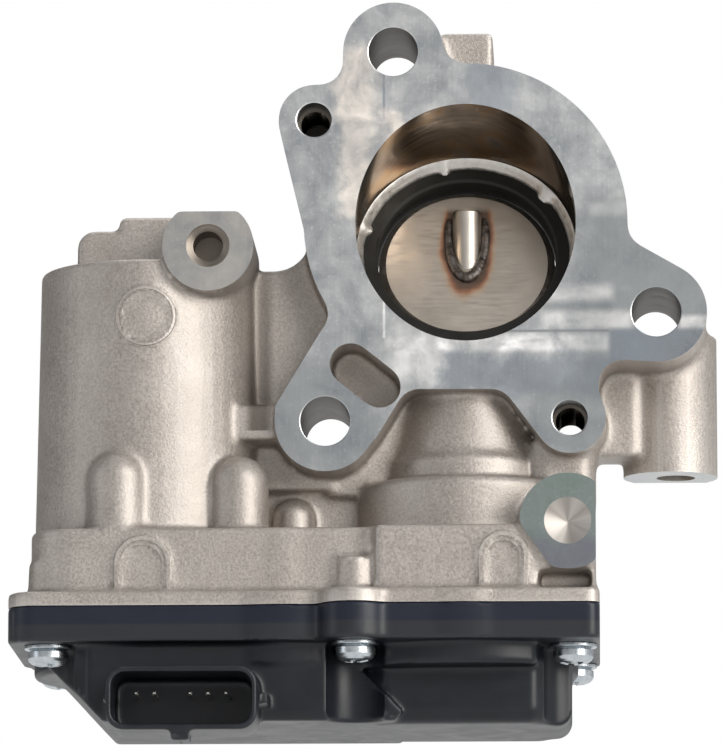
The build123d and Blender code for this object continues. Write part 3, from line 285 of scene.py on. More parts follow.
def skin_of(name, rings, loop=False):
    """Closed surface of quads between neighbouring rings of points, an array of ring, point and x, y, z.
    A loop joins its last ring to its first; otherwise both ends are closed flat."""
    ring = np.arange(rings.shape[0] * rings.shape[1]).reshape(rings.shape[:2])
    rows = ring if loop else ring[:-1]
    after = np.roll(ring, -1, 0)[:len(rows)]
    faces = np.stack([rows, np.roll(rows, -1, 1), np.roll(after, -1, 1), after], -1).reshape(-1, 4).tolist()
    if not loop:
        faces += [ring[0][::-1].tolist(), ring[-1].tolist()]
    made = mesh_of(name, rings.reshape(-1, 3), faces)
    face_out(made)
    return made


def around_circle(count):
    """Angles of this many points round a full turn."""
    return np.linspace(0, 2 * math.pi, count, endpoint=False)


def turned_shape(name, profile, origin, axis, segments):
    """Surface turned about an axis: each depth and radius of the profile, in millimetres, makes a ring
    origin + depth * axis + radius * (cos t * side + sin t * third)."""
    axis = np.array(axis, float) / np.linalg.norm(axis)
    side = np.cross(axis, (0, 0, 1) if abs(axis[2]) < 0.9 else (1, 0, 0))
    side /= np.linalg.norm(side)
    t = around_circle(segments)[:, None]
    spokes = np.cos(t) * side + np.sin(t) * np.cross(axis, side)
    depth, radius = (np.array(profile, float) / 1000).T[:, :, None, None]
    return skin_of(name, np.array(origin, float) / 1000 + depth * axis + radius * spokes)


def prism(name, outline, axis, low, high):
    """Closed prism: the outline in the two axes that follow this one, between two levels, in millimetres."""
    flat = np.array(outline, float)
    points = np.zeros((2, len(flat), 3))
    points[:, :, (axis + 1) % 3] = flat[:, 0]
    points[:, :, (axis + 2) % 3] = flat[:, 1]
    points[0, :, axis], points[1, :, axis] = low, high
    return skin_of(name, points / 1000)


def tap(x, z, radius, front, rear, lip, pitch, around=48):
    """Shape that cuts a tapped hole along Y: plain down to a ledge, then its radius is the hole's, less
    half the pitch at the crests of a ridge that climbs one pitch a turn; it opens to a cone at the mouth."""
    deep = np.concatenate([[front, front + lip / 2, front + PLAIN_DEPTH],
                           np.arange(front + PLAIN_DEPTH + 0.02, rear + 0.01, pitch / 6)])
    t = around_circle(around)
    ridge = np.abs(((deep[:, None] / pitch - t / (2 * math.pi)) % 1) - 0.5) * 2
    wide = radius - 0.5 * pitch * np.clip(1.35 * ridge - 0.2, 0, 1)
    wide[:3] = radius
    wide[0] += lip
    wide[3:5] = radius - 0.5 * pitch
    deep = np.concatenate([[front - 3], deep, [rear + (2 if rear > THROUGH else 0.3)]])
    wide = np.concatenate([wide[:1], wide, np.full((1, around), radius * 0.9)])
    points = [x + wide * np.cos(t), np.broadcast_to(deep[:, None], wide.shape), z + wide * np.sin(t)]
    return skin_of("tap", np.stack(points, -1) / 1000)


def box_outline(x, y):
    """Rectangle between two pairs of limits."""
    return [(x[0], y[0]), (x[1], y[0]), (x[1], y[1]), (x[0], y[1])]


def joined(name, things):
    """One object from several, none of them left behind."""
    shell = bmesh.new()
    for thing in things:
        shell.from_mesh(thing.data)
        bpy.data.objects.remove(thing)
    data = bpy.data.meshes.new(name)
    shell.to_mesh(data)
    shell.free()
    return linked(name, data)


def machine(body, cutters, operation="DIFFERENCE"):
    """Cuts or adds closed shapes that don't touch each other."""
    cutter = joined("cutter", cutters)
    settle(body, "machine", "BOOLEAN", operation=operation, solver="MANIFOLD", object=cutter)
    bpy.data.objects.remove(cutter)


# Milled planes: axis, level, side that the metal lies on, and the limits of each in x, y and z.
FLANGE_DEPTH, LEFT_PAD_Y, RIGHT_PAD_Y, RIM_Z, BOSS_Z = 25.5, -6.0, -12.2, -66.8, -41.4
MILLED = [(1, 0.0, 1, (-34, 60), (-1, 1), (-43.2, 60)),
          (1, FLANGE_DEPTH, -1, (-34, 60), (24, 27), (-43.6, 60)),
          (1, LEFT_PAD_Y, 1, (-52, -35), (-7, -5), (-13, 4)),
          (1, RIGHT_PAD_Y, 1, (8.4, 24), (-13, -11.8), (-62, -43)),
          (2, RIM_Z, 1, (-80, 30), (-20, 50), (-67, -66.6)),
          (2, BOSS_Z, 1, (25, 45), (10, 30), (-42, -41))]
# Drilled holes along Y: x, z, radius, front, rear, the chamfer at the mouth, and the thread's pitch.
# Each chamfer is half as deep as it is wide. A thread starts on a ledge PLAIN_DEPTH down. A hole that
# ends deeper than THROUGH goes through the flange.
PLAIN_DEPTH, THROUGH = 5.6, 20
DRILLED = [(-12.3, 29.7, 4.25, 0, FLANGE_DEPTH, 0.16, 0), (32.4, -15.7, 4.25, 0, FLANGE_DEPTH, 0.16, 0),
           (-23.9, -34.2, 4.25, 0, FLANGE_DEPTH, 0.16, 0), (-25.8, 17.9, 3.0, 0, 18, 0.22, 1.0),
           (17.65, -33.8, 3.0, 0, FLANGE_DEPTH, 0.22, 1.0), (-43.6, -4.9, 2.55, LEFT_PAD_Y, 0.6, 1.15, 0)]
DISH_X, DISH_Z, DISH_R, DISH_BOTTOM_Y = 17.2, -53.1, 3.95, -10.0
BARREL_X, BARREL_Y, BARREL_FOOT, BARREL_TOP = -54.5, 14.0, -53.4, -6.8
BARREL_R_LOW, BARREL_R_TOP = 19.6, 18.8
PORT_TILT = math.radians(23.5)
port_axis = np.array([0, math.cos(PORT_TILT), -math.sin(PORT_TILT)])
# Gas path along its own axis: depth, radius. The last millimetres are behind the seat ring.
PORT_R, OUTLET_R = 18.8, 17.3
GAS_PATH = [(-20, PORT_R), (8.3, PORT_R), (10.2, 18.0), (10.2, 18.6), (16.2, 18.6), (16.2, OUTLET_R),
            (40, OUTLET_R)]


def inside(co, x, y, z):
    """Mask of the points between pairs of limits in millimetres."""
    low, high = np.array([x[0], y[0], z[0]]) / 1000, np.array([x[1], y[1], z[1]]) / 1000
    return ((co >= low) & (co <= high)).all(1)


def port_polar(co):
    """Depth along the gas port's axis, and the vector from the axis to each point."""
    depth = co @ port_axis
    return depth, co - depth[:, None] * port_axis


def ejector_circle(centre, profile, segments=120):
    """Ring on the barrel, a cone about a vertical axis: each depth and radius of the profile gives the
    circle x = a + r cos t, z = c + r sin t, y = surface(x, z) + depth."""
    t = around_circle(segments)
    depth, radius = np.array(profile).T[:, :, None]
    x, z = centre[0] + radius * np.cos(t), centre[1] + radius * np.sin(t)
    wall = BARREL_R_LOW + (BARREL_R_TOP - BARREL_R_LOW) * (z - BARREL_FOOT) / (BARREL_TOP - BARREL_FOOT)
    y = BARREL_Y - np.sqrt(wall ** 2 - (x - BARREL_X) ** 2) + depth
    return skin_of("circle", np.stack([x, y, z], -1) / 1000, loop=True)


def arch_outline(x, top, radius, band, foot=-66.0):
    """Outline in z and x of an arched band: half a circle on two legs, and back inside it."""
    t = np.linspace(0, math.pi, 25)
    curves = [[(top - radius + wide * math.sin(a), x - wide * math.cos(a)) for a in t]
              for wide in (radius, radius - band)]
    return ([(foot, x - radius)] + curves[0] + [(foot, x + radius), (foot, x + radius - band)]
            + curves[1][::-1] + [(foot, x - radius + band)])


def with_stock(body):
    """Leaves metal on every milled plane and in every bore."""
    co = points_of(body)
    for axis, level, side, x, y, z in MILLED:
        cut = inside(co, x, y, z) & (np.abs(co[:, axis] - level / 1000) < 5e-6)
        co[cut, axis] -= side * STOCK
    for x, z, radius, front, rear, lip, pitch in DRILLED:
        offset = co[:, [0, 2]] - np.array([x, z]) / 1000
        reach = np.linalg.norm(offset, axis=1)
        wall = (reach < radius / 1000 + STOCK) & (reach > 1e-4)
        wall &= (co[:, 1] > front / 1000 - 2 * STOCK) & (co[:, 1] < rear / 1000 + 2 * STOCK)
        co[np.ix_(wall, [0, 2])] -= offset[wall] / reach[wall, None] * STOCK
    depth, spoke = port_polar(co)
    reach = np.linalg.norm(spoke, axis=1)
    wall = (reach < (PORT_R + 0.05) / 1000) & (reach > (OUTLET_R - 0.3) / 1000)
    wall &= (co[:, 1] < FLANGE_DEPTH / 1000 + STOCK) & (depth > -10 * STOCK)
    co[wall] -= spoke[wall] / reach[wall, None] * STOCK
    set_points(body, co)


valve_body = merged_copy("valve_body")
with_stock(valve_body)
softened(valve_body, CAST_VOXEL, CAST_ROUNDS, 0.22, 172000)
machine(valve_body, [
    prism("flange_front", [(60, -34), (60, 60), (-41, 60), (-41, 10), (-36, 10), (-36, -8), (-43.2, -8),
                           (-43.2, -34)], 1, -4, 0),
    prism("flange_rear", [(60, -34), (60, 60), (-43.6, 60), (-43.6, -34)], 1, FLANGE_DEPTH, 27.2),
    prism("left_pad", box_outline((-13, 4), (-52, -35)), 1, -9, LEFT_PAD_Y),
    prism("right_pad", box_outline((-62, -43), (8.4, 24)), 1, -15.5, RIGHT_PAD_Y),
    prism("joint_rim", box_outline((-80, 30), (-20, 50)), 2, -69, RIM_Z)])
drills = [turned_shape("drill", [(front - 3, radius + lip), (front, radius + lip), (front + lip / 2, radius),
                                 (rear + (2 if rear > THROUGH else 0), radius)], (x, 0, z), (0, 1, 0), 64)
          for x, z, radius, front, rear, lip, pitch in DRILLED if not pitch]
drills += [tap(*hole) for hole in DRILLED if hole[-1]]
drills.append(turned_shape("gas_path", GAS_PATH, (0, 0, 0), port_axis, 192))
drills.append(turned_shape("pad_dish", [(-15, DISH_R), (RIGHT_PAD_Y, DISH_R), (DISH_BOTTOM_Y, 0.2)],
                           (DISH_X, 0, DISH_Z), (0, 1, 0), 64))
drills.append(prism("boss_end", box_outline((25, 45), (10, 30)), 2, -44, BOSS_Z))
machine(valve_body, drills)
# The two stops of the sector gear are the only posts that reach below STOP_Z. Each is turned afresh.
STOP_Z = -0.0725
posts = np.array([vertex.co[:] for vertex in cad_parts["valve_body"].data.vertices])
posts = posts[posts[:, 2] < STOP_Z]
rear_post = posts[:, 1] > posts[:, 1].mean()
centres = [1000 * np.unique(posts[one].round(5), axis=0).mean(0) for one in (rear_post, ~rear_post)]
raised = [turned_shape("stop", [(-73.3, 2.2), (-64, 2.2)], (x, y, 0), (0, 0, 1), 40) for x, y, z in centres]
# Ejector marks: one circle on the front of the barrel and two arches on the wall above the rim.
raised.append(ejector_circle((-54.2, -16.8), [(1.5, 3.95), (-0.1, 4.0), (-0.18, 4.1), (-0.18, 4.55),
                                              (-0.46, 4.68), (-0.46, 5.06), (-0.1, 5.22), (1.5, 5.26)]))
# Arches: x, top, radius, and the y of the wall. A thinner rib stands on each.
ARCHES = ((-54.3, -55.0, 4.7, -8.5), (6.4, -54.9, 4.1, -11.5))
for band, proud in ((1.35, 0.2), (0.6, 0.46)):
    raised += [prism("arch", arch_outline(x, top, radius, band), 1, wall - proud, wall + 0.5)
               for x, top, radius, wall in ARCHES]
    machine(valve_body, raised, "UNION")
    raised = []

# As-cast aluminium: matt warm grey with a fine sandy grain, darker in blotches of some 9 mm where the
# die lubricant burnt on, with painted shade in inside corners, and rubbed brighter on outer edges. The
# grain is drawn at 0.45 mm, twice the real one, so that it shows.
WEB_CORNER_X, WEB_FOOT_Z = -0.0353, -0.0355
cast_aluminium, tree, shader, place = finish_of("cast_aluminium", metallic=0.8, roughness=0.5)
grain = add(tree, "TexNoise", {"Vector": place, "Scale": 1 / 0.00045, "Detail": 2.0, "Roughness": 0.65})
blotch = add(tree, "TexNoise", {"Vector": place, "Scale": 1 / 0.009, "Detail": 5.0, "Roughness": 0.6})
tint = add(tree, "Mix", {0: blotch, 6: tone("#9c948d"), 7: tone("#c3bcb5")}, data_type="RGBA")
speck = add(tree, "MapRange", {0: grain, 1: 0.3, 2: 0.7, 3: 0.76, 4: 1.12})
grainy = add(tree, "Mix", {0: 1.0, 6: tint, 7: speck}, data_type="RGBA", blend_type="MULTIPLY")
bend = add(tree, "NewGeometry").outputs["Pointiness"]
edge = add(tree, "MapRange", {0: bend, 1: 0.515, 2: 0.6, 3: 0.0, 4: 0.5})
colour = add(tree, "Mix", {0: edge, 6: grainy, 7: tone("#d8d3cd")}, data_type="RGBA")
# Painted shade in inside corners: concave places are darkened towards a dark grey-brown.
corner_shade = add(tree, "MapRange", {0: bend, 1: 0.488, 2: 0.44, 3: 0.0, 4: 0.75})
# Painted shade also fills the deep fillet where the web leaves the barrel, 2 mm either side of it, stronger
# towards its foot and ending at WEB_FOOT_Z.
spread = add(tree, "SeparateXYZ", {0: place})
away = add(tree, "Math", {0: spread.outputs["X"], 1: WEB_CORNER_X}, operation="SUBTRACT")
away = add(tree, "Math", {0: away}, operation="ABSOLUTE")
away = add(tree, "MapRange", {0: away, 1: 0.0009, 2: 0.0028, 3: 0.86, 4: 0.0},
           interpolation_type="SMOOTHSTEP")
high = add(tree, "MapRange", {0: spread.outputs["Z"], 1: -0.034, 2: -0.008, 3: 1.0, 4: 0.6})
foot = add(tree, "Math", {0: spread.outputs["Z"], 1: WEB_FOOT_Z}, operation="GREATER_THAN")
for limit in (high, foot):
    away = add(tree, "Math", {0: away, 1: limit}, operation="MULTIPLY")
corner_shade = add(tree, "Math", {0: corner_shade, 1: away}, operation="MAXIMUM")
colour = add(tree, "Mix", {0: corner_shade, 6: colour, 7: tone("#5c544d")}, data_type="RGBA")
lay_on(shader, colour, grain, (0.44, 0.58), grain, 0.00007, 0.9)

# Face-milled aluminium, washed and passivated: pale cool grey, cloudy, with faint cutter streaks 0.5 mm
# wide. Where one cutter pass laps another the surface tips by a few degrees and catches the light, and
# patches of it carry painted glints and painted reflections in their colour.
milled_aluminium, tree, shader, place = finish_of("milled_aluminium", metallic=1.0, roughness=0.32)
drawn = add(tree, "Mapping", {"Vector": place, "Scale": (1 / 0.0005, 1 / 0.0005, 1 / 0.009)})
streak = add(tree, "TexNoise", {"Vector": drawn, "Scale": 1.0, "Detail": 3.0})
cloud = add(tree, "TexNoise", {"Vector": place, "Scale": 1 / 0.008, "Detail": 8.0, "Roughness": 0.68,
                               "Distortion": 0.4})
fleck = add(tree, "TexNoise", {"Vector": place, "Scale": 1 / 0.0006, "Detail": 3.0, "Roughness": 0.7})
mixed = add(tree, "Mix", {0: 0.16, 2: cloud, 3: streak})
depth = add(tree, "MapRange", {0: mixed, 1: 0.36, 2: 0.64})
colour = add(tree, "Mix", {0: depth, 6: tone("#adb1b5"), 7: tone("#d2d3d1")}, data_type="RGBA")
dots = add(tree, "MapRange", {0: fleck, 1: 0.56, 2: 0.7, 3: 0.0, 4: 0.5})
colour = add(tree, "Mix", {0: dots, 6: colour, 7: tone("#eceeec")}, data_type="RGBA")
shift = add(tree, "TexNoise", {"Vector": place, "Scale": 1 / 0.005, "Detail": 4.0, "Roughness": 0.6})
shift = add(tree, "VectorMath", {0: shift.outputs["Color"], 1: (0.5, 0.5, 0.5)}, operation="SUBTRACT")
shift = add(tree, "VectorMath", {0: shift, "Scale": 0.009}, operation="SCALE")
loose = add(tree, "VectorMath", {0: place, 1: shift})
apart = [add(tree, "SeparateXYZ", {0: source}) for source in (place, loose)]
tilt = add(tree, "NewGeometry").outputs["Normal"]
# Tints of the washed face: pale and straw-warm, which paint glints of the lamps; dulled and blued, which
# paint darker reflections of the surroundings; oily; and the green and violet of the chromate film.
PALE_GLINT, WARM_GLINT, DULL_REFLECTION, BLUED_REFLECTION = tone("#f6f4f1"), tone("#fbf0e4"), tone("#8f9496"), tone("#8b95a2")
OILY, GREEN, VIOLET = tone("#b9afa3"), tone("#6f8279"), tone("#85808f")
# Cutter passes and stains, most of them tinted with painted glints and painted reflections: x and z limits
# in mm, soft edge in mm, tint, share, and lean of the normal along x and z.
PASSES_AND_GLINTS = [((-21.5, -15.5), (2, 30), 2.0, WARM_GLINT, 0.85, (0.09, 0.04)),
          ((-13.8, 8), (13, 24), 3.0, PALE_GLINT, 0.35, (0.02, 0.01)),
          ((-14.1, -13.7), (18, 27.5), 0.15, BLUED_REFLECTION, 0.7, (0, 0)),
          ((-14.1, -10.5), (14.5, 19.5), 1.2, WARM_GLINT, 0.8, (0.08, 0.03)),
          ((0.5, 8), (18.5, 28), 2.4, BLUED_REFLECTION, 0.6, (0, 0)),
          ((19, 25), (6, 14), 2.6, PALE_GLINT, 0.4, (0.04, 0.02)),
          ((21, 28), (1, 3.2), 0.8, PALE_GLINT, 0.6, (0.05, 0.03)),
          ((-14.1, -13.7), (-20, -13.4), 0.15, PALE_GLINT, 0.8, (0.1, 0.05)),
          ((-13.6, -4.5), (-28, -15), 2.0, PALE_GLINT, 0.7, (0.07, 0.05)),
          ((-5, 24.4), (-22.4, -19.3), 0.8, PALE_GLINT, 0.9, (0.08, 0.09)),
          ((19, 46), (-30, 4.5), 4.0, DULL_REFLECTION, 0.65, (-0.03, -0.01)),
          ((13, 25), (-13.6, -11), 1.0, PALE_GLINT, 0.7, (0.08, 0.04)),
          ((13, 25), (-15.4, -13.8), 0.8, DULL_REFLECTION, 0.5, (-0.02, 0)),
          ((13, 28.4), (-18.5, -15.6), 0.9, PALE_GLINT, 0.65, (0.06, 0.03)),
          ((0, 24.3), (-19.1, -18.7), 0.15, DULL_REFLECTION, 0.9, (0, 0)),
          ((36.2, 46), (-18.7, -16.4), 0.6, PALE_GLINT, 0.75, (0.07, 0.04)),
          ((24.4, 44), (-25, -18.6), 0.5, BLUED_REFLECTION, 0.6, (-0.02, 0)),
          ((-4, 26), (-30, -23), 1.6, BLUED_REFLECTION, 0.6, (0, 0)),
          ((-40, -15), (-44, -24), 4.0, DULL_REFLECTION, 0.55, (-0.02, 0)),
          ((10, 27), (-42, -27), 3.0, DULL_REFLECTION, 0.6, (-0.02, 0)),
          ((-54, -34.6), (-14, 6), 0.3, OILY, 0.55, (0, 0)),
          ((8, 26), (-64, -44), 1.5, GREEN, 0.8, (-0.03, 0)),
          ((10, 26), (-64, -56), 2.5, VIOLET, 0.7, (-0.02, 0))]
for x, z, soft, tint, share, lean in PASSES_AND_GLINTS:
    whole = None
    for way, (low, high) in zip(("X", "Z"), (x, z)):
        for level, sign in ((low, 1), (high, -1)):
            from_to = {1: (level - soft * sign) / 1000, 2: (level + soft * sign) / 1000}
            mask = add(tree, "MapRange", {0: apart[soft > 1].outputs[way], **from_to},
                       interpolation_type="SMOOTHSTEP")
            whole = add(tree, "Math", {0: whole, 1: mask}, operation="MULTIPLY") if whole else mask
    # Each pass mixes in its tint, which paints glints and darker reflections over the cutter pass's own tone.
    ragged = add(tree, "MapRange", {0: cloud, 1: 0.35, 2: 0.6, 3: share * 0.5, 4: share})
    part = add(tree, "Math", {0: whole, 1: ragged}, operation="MULTIPLY")
    colour = add(tree, "Mix", {0: part, 6: colour, 7: tint}, data_type="RGBA")
    if any(lean):
        push = add(tree, "VectorMath", {0: (lean[0], 0, lean[1]), "Scale": part}, operation="SCALE")
        tilt = add(tree, "VectorMath", {0: tilt, 1: push})
tilt = add(tree, "VectorMath", {0: tilt}, operation="NORMALIZE")
lay_on(shader, colour, cloud, (0.25, 0.42), mixed, 0.00004, 0.5, lean=tilt)


def set_stops(ramp, stops):
    """Gives a colour ramp these stops, each a place and a hex colour, instead of its own two."""
    held = ramp.color_ramp.elements
    for place, hex_colour in stops:
        held.new(place).color = tone(hex_colour)
    held.remove(held[0])
    held.remove(held[-1])


# Bored wall of the gas path: finely turned and near mirror-bright, browned by hot gas in bands.
bored_aluminium, tree, shader, place = finish_of("bored_aluminium", metallic=1.0, roughness=0.16)
along = add(tree, "Mapping", {"Vector": place, "Rotation": (PORT_TILT, 0, 0),
                              "Scale": (1 / 0.02, 1 / 0.0006, 1 / 0.02)})
rings = add(tree, "TexNoise", {"Vector": along, "Scale": 1.0, "Detail": 1.0})
stain = add(tree, "TexNoise", {"Vector": place, "Scale": 1 / 0.011, "Detail": 3.0, "Distortion": 0.6})
ramp = add(tree, "ValToRGB", {0: stain})
set_stops(ramp, ((0.3, "#857a70"), (0.47, "#a1958a"), (0.58, "#b19a80"), (0.66, "#b3aaa2"), (0.75, "#8f9095"),
                 (1.0, "#ffffff")))
lay_on(shader, ramp, rings, (0.09, 0.18), rings, 0.000008, 0.15)

# Spot-drilled dish: a fan of bright and dull cuts round its centre, some 40 degrees wide.
spot_drilled, tree, shader, place = finish_of("spot_drilled_aluminium", metallic=1.0, roughness=0.36)
middle = add(tree, "Mapping", {"Vector": place, "Location": (-DISH_X / 1000, 0, -DISH_Z / 1000)})
spoke = add(tree, "VectorMath", {0: middle, 1: (1, 0, 1)}, operation="MULTIPLY")
spoke = add(tree, "VectorMath", {0: spoke}, operation="NORMALIZE")
fan = add(tree, "TexNoise", {"Vector": spoke, "Scale": 1.3, "Detail": 3.0, "Roughness": 0.45})
colour = add(tree, "MapRange", {0: fan, 1: 0.35, 2: 0.65})
colour = add(tree, "Mix", {0: colour, 6: tone("#9a948e"), 7: tone("#c4bfb9")}, data_type="RGBA")
lay_on(shader, colour, fan, (0.46, 0.6), fan, 0.0001, 0.3)

# Drilled wall: grey-brown and half dull, darker than the milled faces and darker still further in, both
# painted shade inside the hole, with the drill's lines 0.4 mm apart round the hole.
drilled_aluminium, tree, shader, place = finish_of("drilled_aluminium", metallic=1.0, roughness=0.42)
sized = add(tree, "Mapping", {"Vector": place, "Scale": (1 / 0.006, 1 / 0.0004, 1 / 0.006)})
lines = add(tree, "TexNoise", {"Vector": sized, "Scale": 1.0, "Detail": 3.0})
colour = add(tree, "MapRange", {0: lines, 1: 0.35, 2: 0.65})
colour = add(tree, "Mix", {0: colour, 6: tone("#6a635b"), 7: tone("#8f877e")}, data_type="RGBA")
# Painted shade: the colour darkens from 1 mm to 19 mm into the hole.
below = add(tree, "SeparateXYZ", {0: place})
below = add(tree, "MapRange", {0: below.outputs["Y"], 1: 0.001, 2: 0.019, 3: 0.0, 4: 0.85})
colour = add(tree, "Mix", {0: below, 6: colour, 7: tone("#332c25")}, data_type="RGBA")
lay_on(shader, colour, lines, (0.34, 0.52), lines, 0.00002, 0.4)


# Kinds of face on the casting, in the order of its list of finishes. FACED is a milled plane or a reamed
# wall, and HOLE_WALL is the wall of a drilled or tapped hole.
AS_CAST, FACED, GAS_WALL, DISH, HOLE_WALL, CHAMFER = range(6)


def machined_faces(thing):
    """Marks each face of the casting with its kind."""
    near = 1e-6
    reworked(thing.data, lambda shell: bmesh.ops.triangulate(shell, faces=shell.faces))
    co = points_of(thing)
    corners = values_of(thing.data.loops, "vertex_index").reshape(-1, 3)
    mark = np.full(len(corners), AS_CAST, np.int32)
    for axis, level, side, x, y, z in MILLED:
        flat = inside(co, x, y, z) & (np.abs(co[:, axis] - level / 1000) < 2 * near)
        mark[flat[corners].all(1)] = FACED
    for x, z, radius, front, rear, lip, pitch in DRILLED:
        reach = np.linalg.norm(co[:, [0, 2]] - np.array([x, z]) / 1000, axis=1)
        wall = (reach < (radius + lip) / 1000 + near) & (co[:, 1] > front / 1000 - near)
        wall &= co[:, 1] < rear / 1000 + near
        wall = wall[corners].all(1)
        deepest = co[corners[wall], 1].max(1)
        reamed = PLAIN_DEPTH if pitch else 0
        mark[wall] = np.where(deepest < (front + reamed) / 1000 + near, FACED, HOLE_WALL)
        if lip < 1:
            mark[np.flatnonzero(wall)[deepest < (front + lip / 2) / 1000 + near]] = CHAMFER
    dish = np.hypot(co[:, 0] - DISH_X / 1000, co[:, 2] - DISH_Z / 1000) < DISH_R / 1000 + near
    dish &= co[:, 1] < DISH_BOTTOM_Y / 1000 + STOCK
    mark[dish[corners].all(1) & (co[corners, 1].max(1) > RIGHT_PAD_Y / 1000 + near)] = DISH
    depth, spoke = port_polar(co)
    wall = np.linalg.norm(spoke, axis=1) < PORT_R / 1000 + 2 * near
    wall &= (co[:, 1] > -2 * near) & (co[:, 1] < FLANGE_DEPTH / 1000 + 2 * near)
    mark[wall[corners].all(1)] = GAS_WALL
    thing.data.polygons.foreach_set("material_index", mark)


def smooth_by_angle(thing, degrees):
    """Soft shading, with edges sharper than this angle, or between two finishes, kept crisp."""
    thing.data.shade_smooth()
    thing.data.set_sharp_from_angle(angle=math.radians(degrees))
    edges = values_of(thing.data.loops, "edge_index")
    faces = thing.data.polygons
    finish = np.repeat(values_of(faces, "material_index"), values_of(faces, "loop_total"))
    low, high = np.full(len(thing.data.edges), 99), np.full(len(thing.data.edges), -1)
    np.minimum.at(low, edges, finish)
    np.maximum.at(high, edges, finish)
    sharp = values_of(thing.data.edges, "use_edge_sharp", kind=bool)
    thing.data.edges.foreach_set("use_edge_sharp", sharp | (high > low))


valve_body.data.materials.clear()
for finish in (cast_aluminium, milled_aluminium, bored_aluminium, spot_drilled,
               drilled_aluminium, milled_aluminium):
    valve_body.data.materials.append(finish)
machined_faces(valve_body)
smooth_by_angle(valve_body, 35)
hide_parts("valve_body")
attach(valve_body, "housing")

# ---------------- seat ring and its staked lip
# Turned ring of heat-resistant steel, blackened by nitriding, pressed into the gas path. The edge of
# the casting in front of it is rolled over, and struck further in at three places.
LIP_OUTER, LIP_INNER, LIP_FRONT, LIP_REAR = 18.85, 17.65, 8.2, 10.16
# Stakes: degrees from the top, half width in degrees, depth in mm.
STAKES = ((-12.8, 2.3, 0.75), (-73.4, 2.2, 0.7), (49.0, 3.6, 0.7))


def staked_lip(segments=240):
    """Ring round the gas path: a curl whose inner radius is LIP_INNER with a slight wave, less a ramp of
    the stake's depth and width at each stake."""
    t = around_circle(segments)
    turn = np.degrees(t)
    inner = np.full(segments, LIP_INNER) + 0.05 * np.sin(7 * t) + 0.04 * np.sin(13 * t + 1)
    for angle, width, reach in STAKES:
        away = np.abs((turn - angle + 180) % 360 - 180)
        inner -= reach * np.clip(1.6 - away / width, 0, 1)
    part = np.array([0.0, 0.12, 0.45, 0.8, 1.0, 0.97, 0.5, 0.0])
    depth = np.array([LIP_FRONT, LIP_FRONT + 0.1, 8.95, 9.55, 9.9, LIP_REAR, LIP_REAR, LIP_REAR])
    radius = LIP_OUTER + (inner[None] - LIP_OUTER) * part[:, None]
    across = np.array([1.0, 0, 0])
    above = np.cross(across, port_axis)
    spokes = np.sin(t)[:, None] * across + np.cos(t)[:, None] * above
    points = depth[:, None, None] * port_axis + radius[..., None] * spokes
    return skin_of("seat_lip", points / 1000, loop=True)


def mottled(name, dark, pale, size, rough=None, height=0.0, strength=0.5, detail=2.0, fine=(), warp=0.0,
            harsh=0.5, **look):
    """Finish in two tones. Noise of this size in metres (one, or three along x, y and z) goes from the
    dark tone to the pale one and from the first roughness to the second. The same noise, or finer noise
    given as its size, detail and turn about x, stands as a relief of this height in metres."""
    made, tree, shader, place = finish_of(name, **look)
    patterns = []
    for grain, steps, turn, bent in [(size, detail, 0, warp)] + [(*way, 0.0) for way in fine]:
        sized = add(tree, "Mapping", {"Vector": place, "Rotation": (turn, 0, 0), "Scale": np.ones(3) / grain})
        patterns.append(add(tree, "TexNoise", {"Vector": sized, "Scale": 1.0, "Detail": steps,
                                               "Roughness": harsh, "Distortion": bent}))
    colour = add(tree, "Mix", {0: patterns[0], 6: tone(dark), 7: tone(pale)}, data_type="RGBA")
    lay_on(shader, colour, patterns[0], rough, patterns[-1], height, strength)
    return made


# Rolled aluminium: burnished almost white, with dents of some 1.2 mm from the rolling tool.
burnished_aluminium = mottled("burnished_aluminium", "#aaa59f", "#e9e6e1", 0.0012, (0.26, 0.46), 0.00004, 0.6,
                              detail=3.0, metallic=0.85)
lip = staked_lip()
lip.data.materials.append(burnished_aluminium)
smooth_by_angle(lip, 50)
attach(lip, "housing")


def dress(material, *nodes):
    """Gives CAD nodes their finish."""
    for node in nodes:
        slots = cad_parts[node].data.materials
        slots.clear()
        slots.append(material)


# Nitrided steel: black-brown, matt, sooty in patches of 4 mm, with turning rings 0.3 mm apart that only
# just show.
dress(mottled("nitrided_steel", "#141412", "#2b2a27", 0.004, (0.38, 0.58), 0.000015, 0.6, 4.0,
              fine=[((0.015, 0.0003, 0.015), 3.0, PORT_TILT)], metallic=0.55), "seat_ring")

# ---------------- disc, shaft and weld
# Stainless disc set on a slant across a stainless shaft and welded round it from the front.
# The weld leaves straw, orange and brown heat tint on both.
DISC_DEPTH, SHAFT_Y = 13.0, 14.0
BEAD_PATH_R, BEAD_R, BEAD_END = 3.2, 0.74, 122
TINT_CENTRE = (SHAFT_Y * math.cos(PORT_TILT) - DISC_DEPTH) / math.sin(PORT_TILT)
TINT_HALF = BEAD_PATH_R / math.sin(PORT_TILT) * math.cos(PORT_TILT)


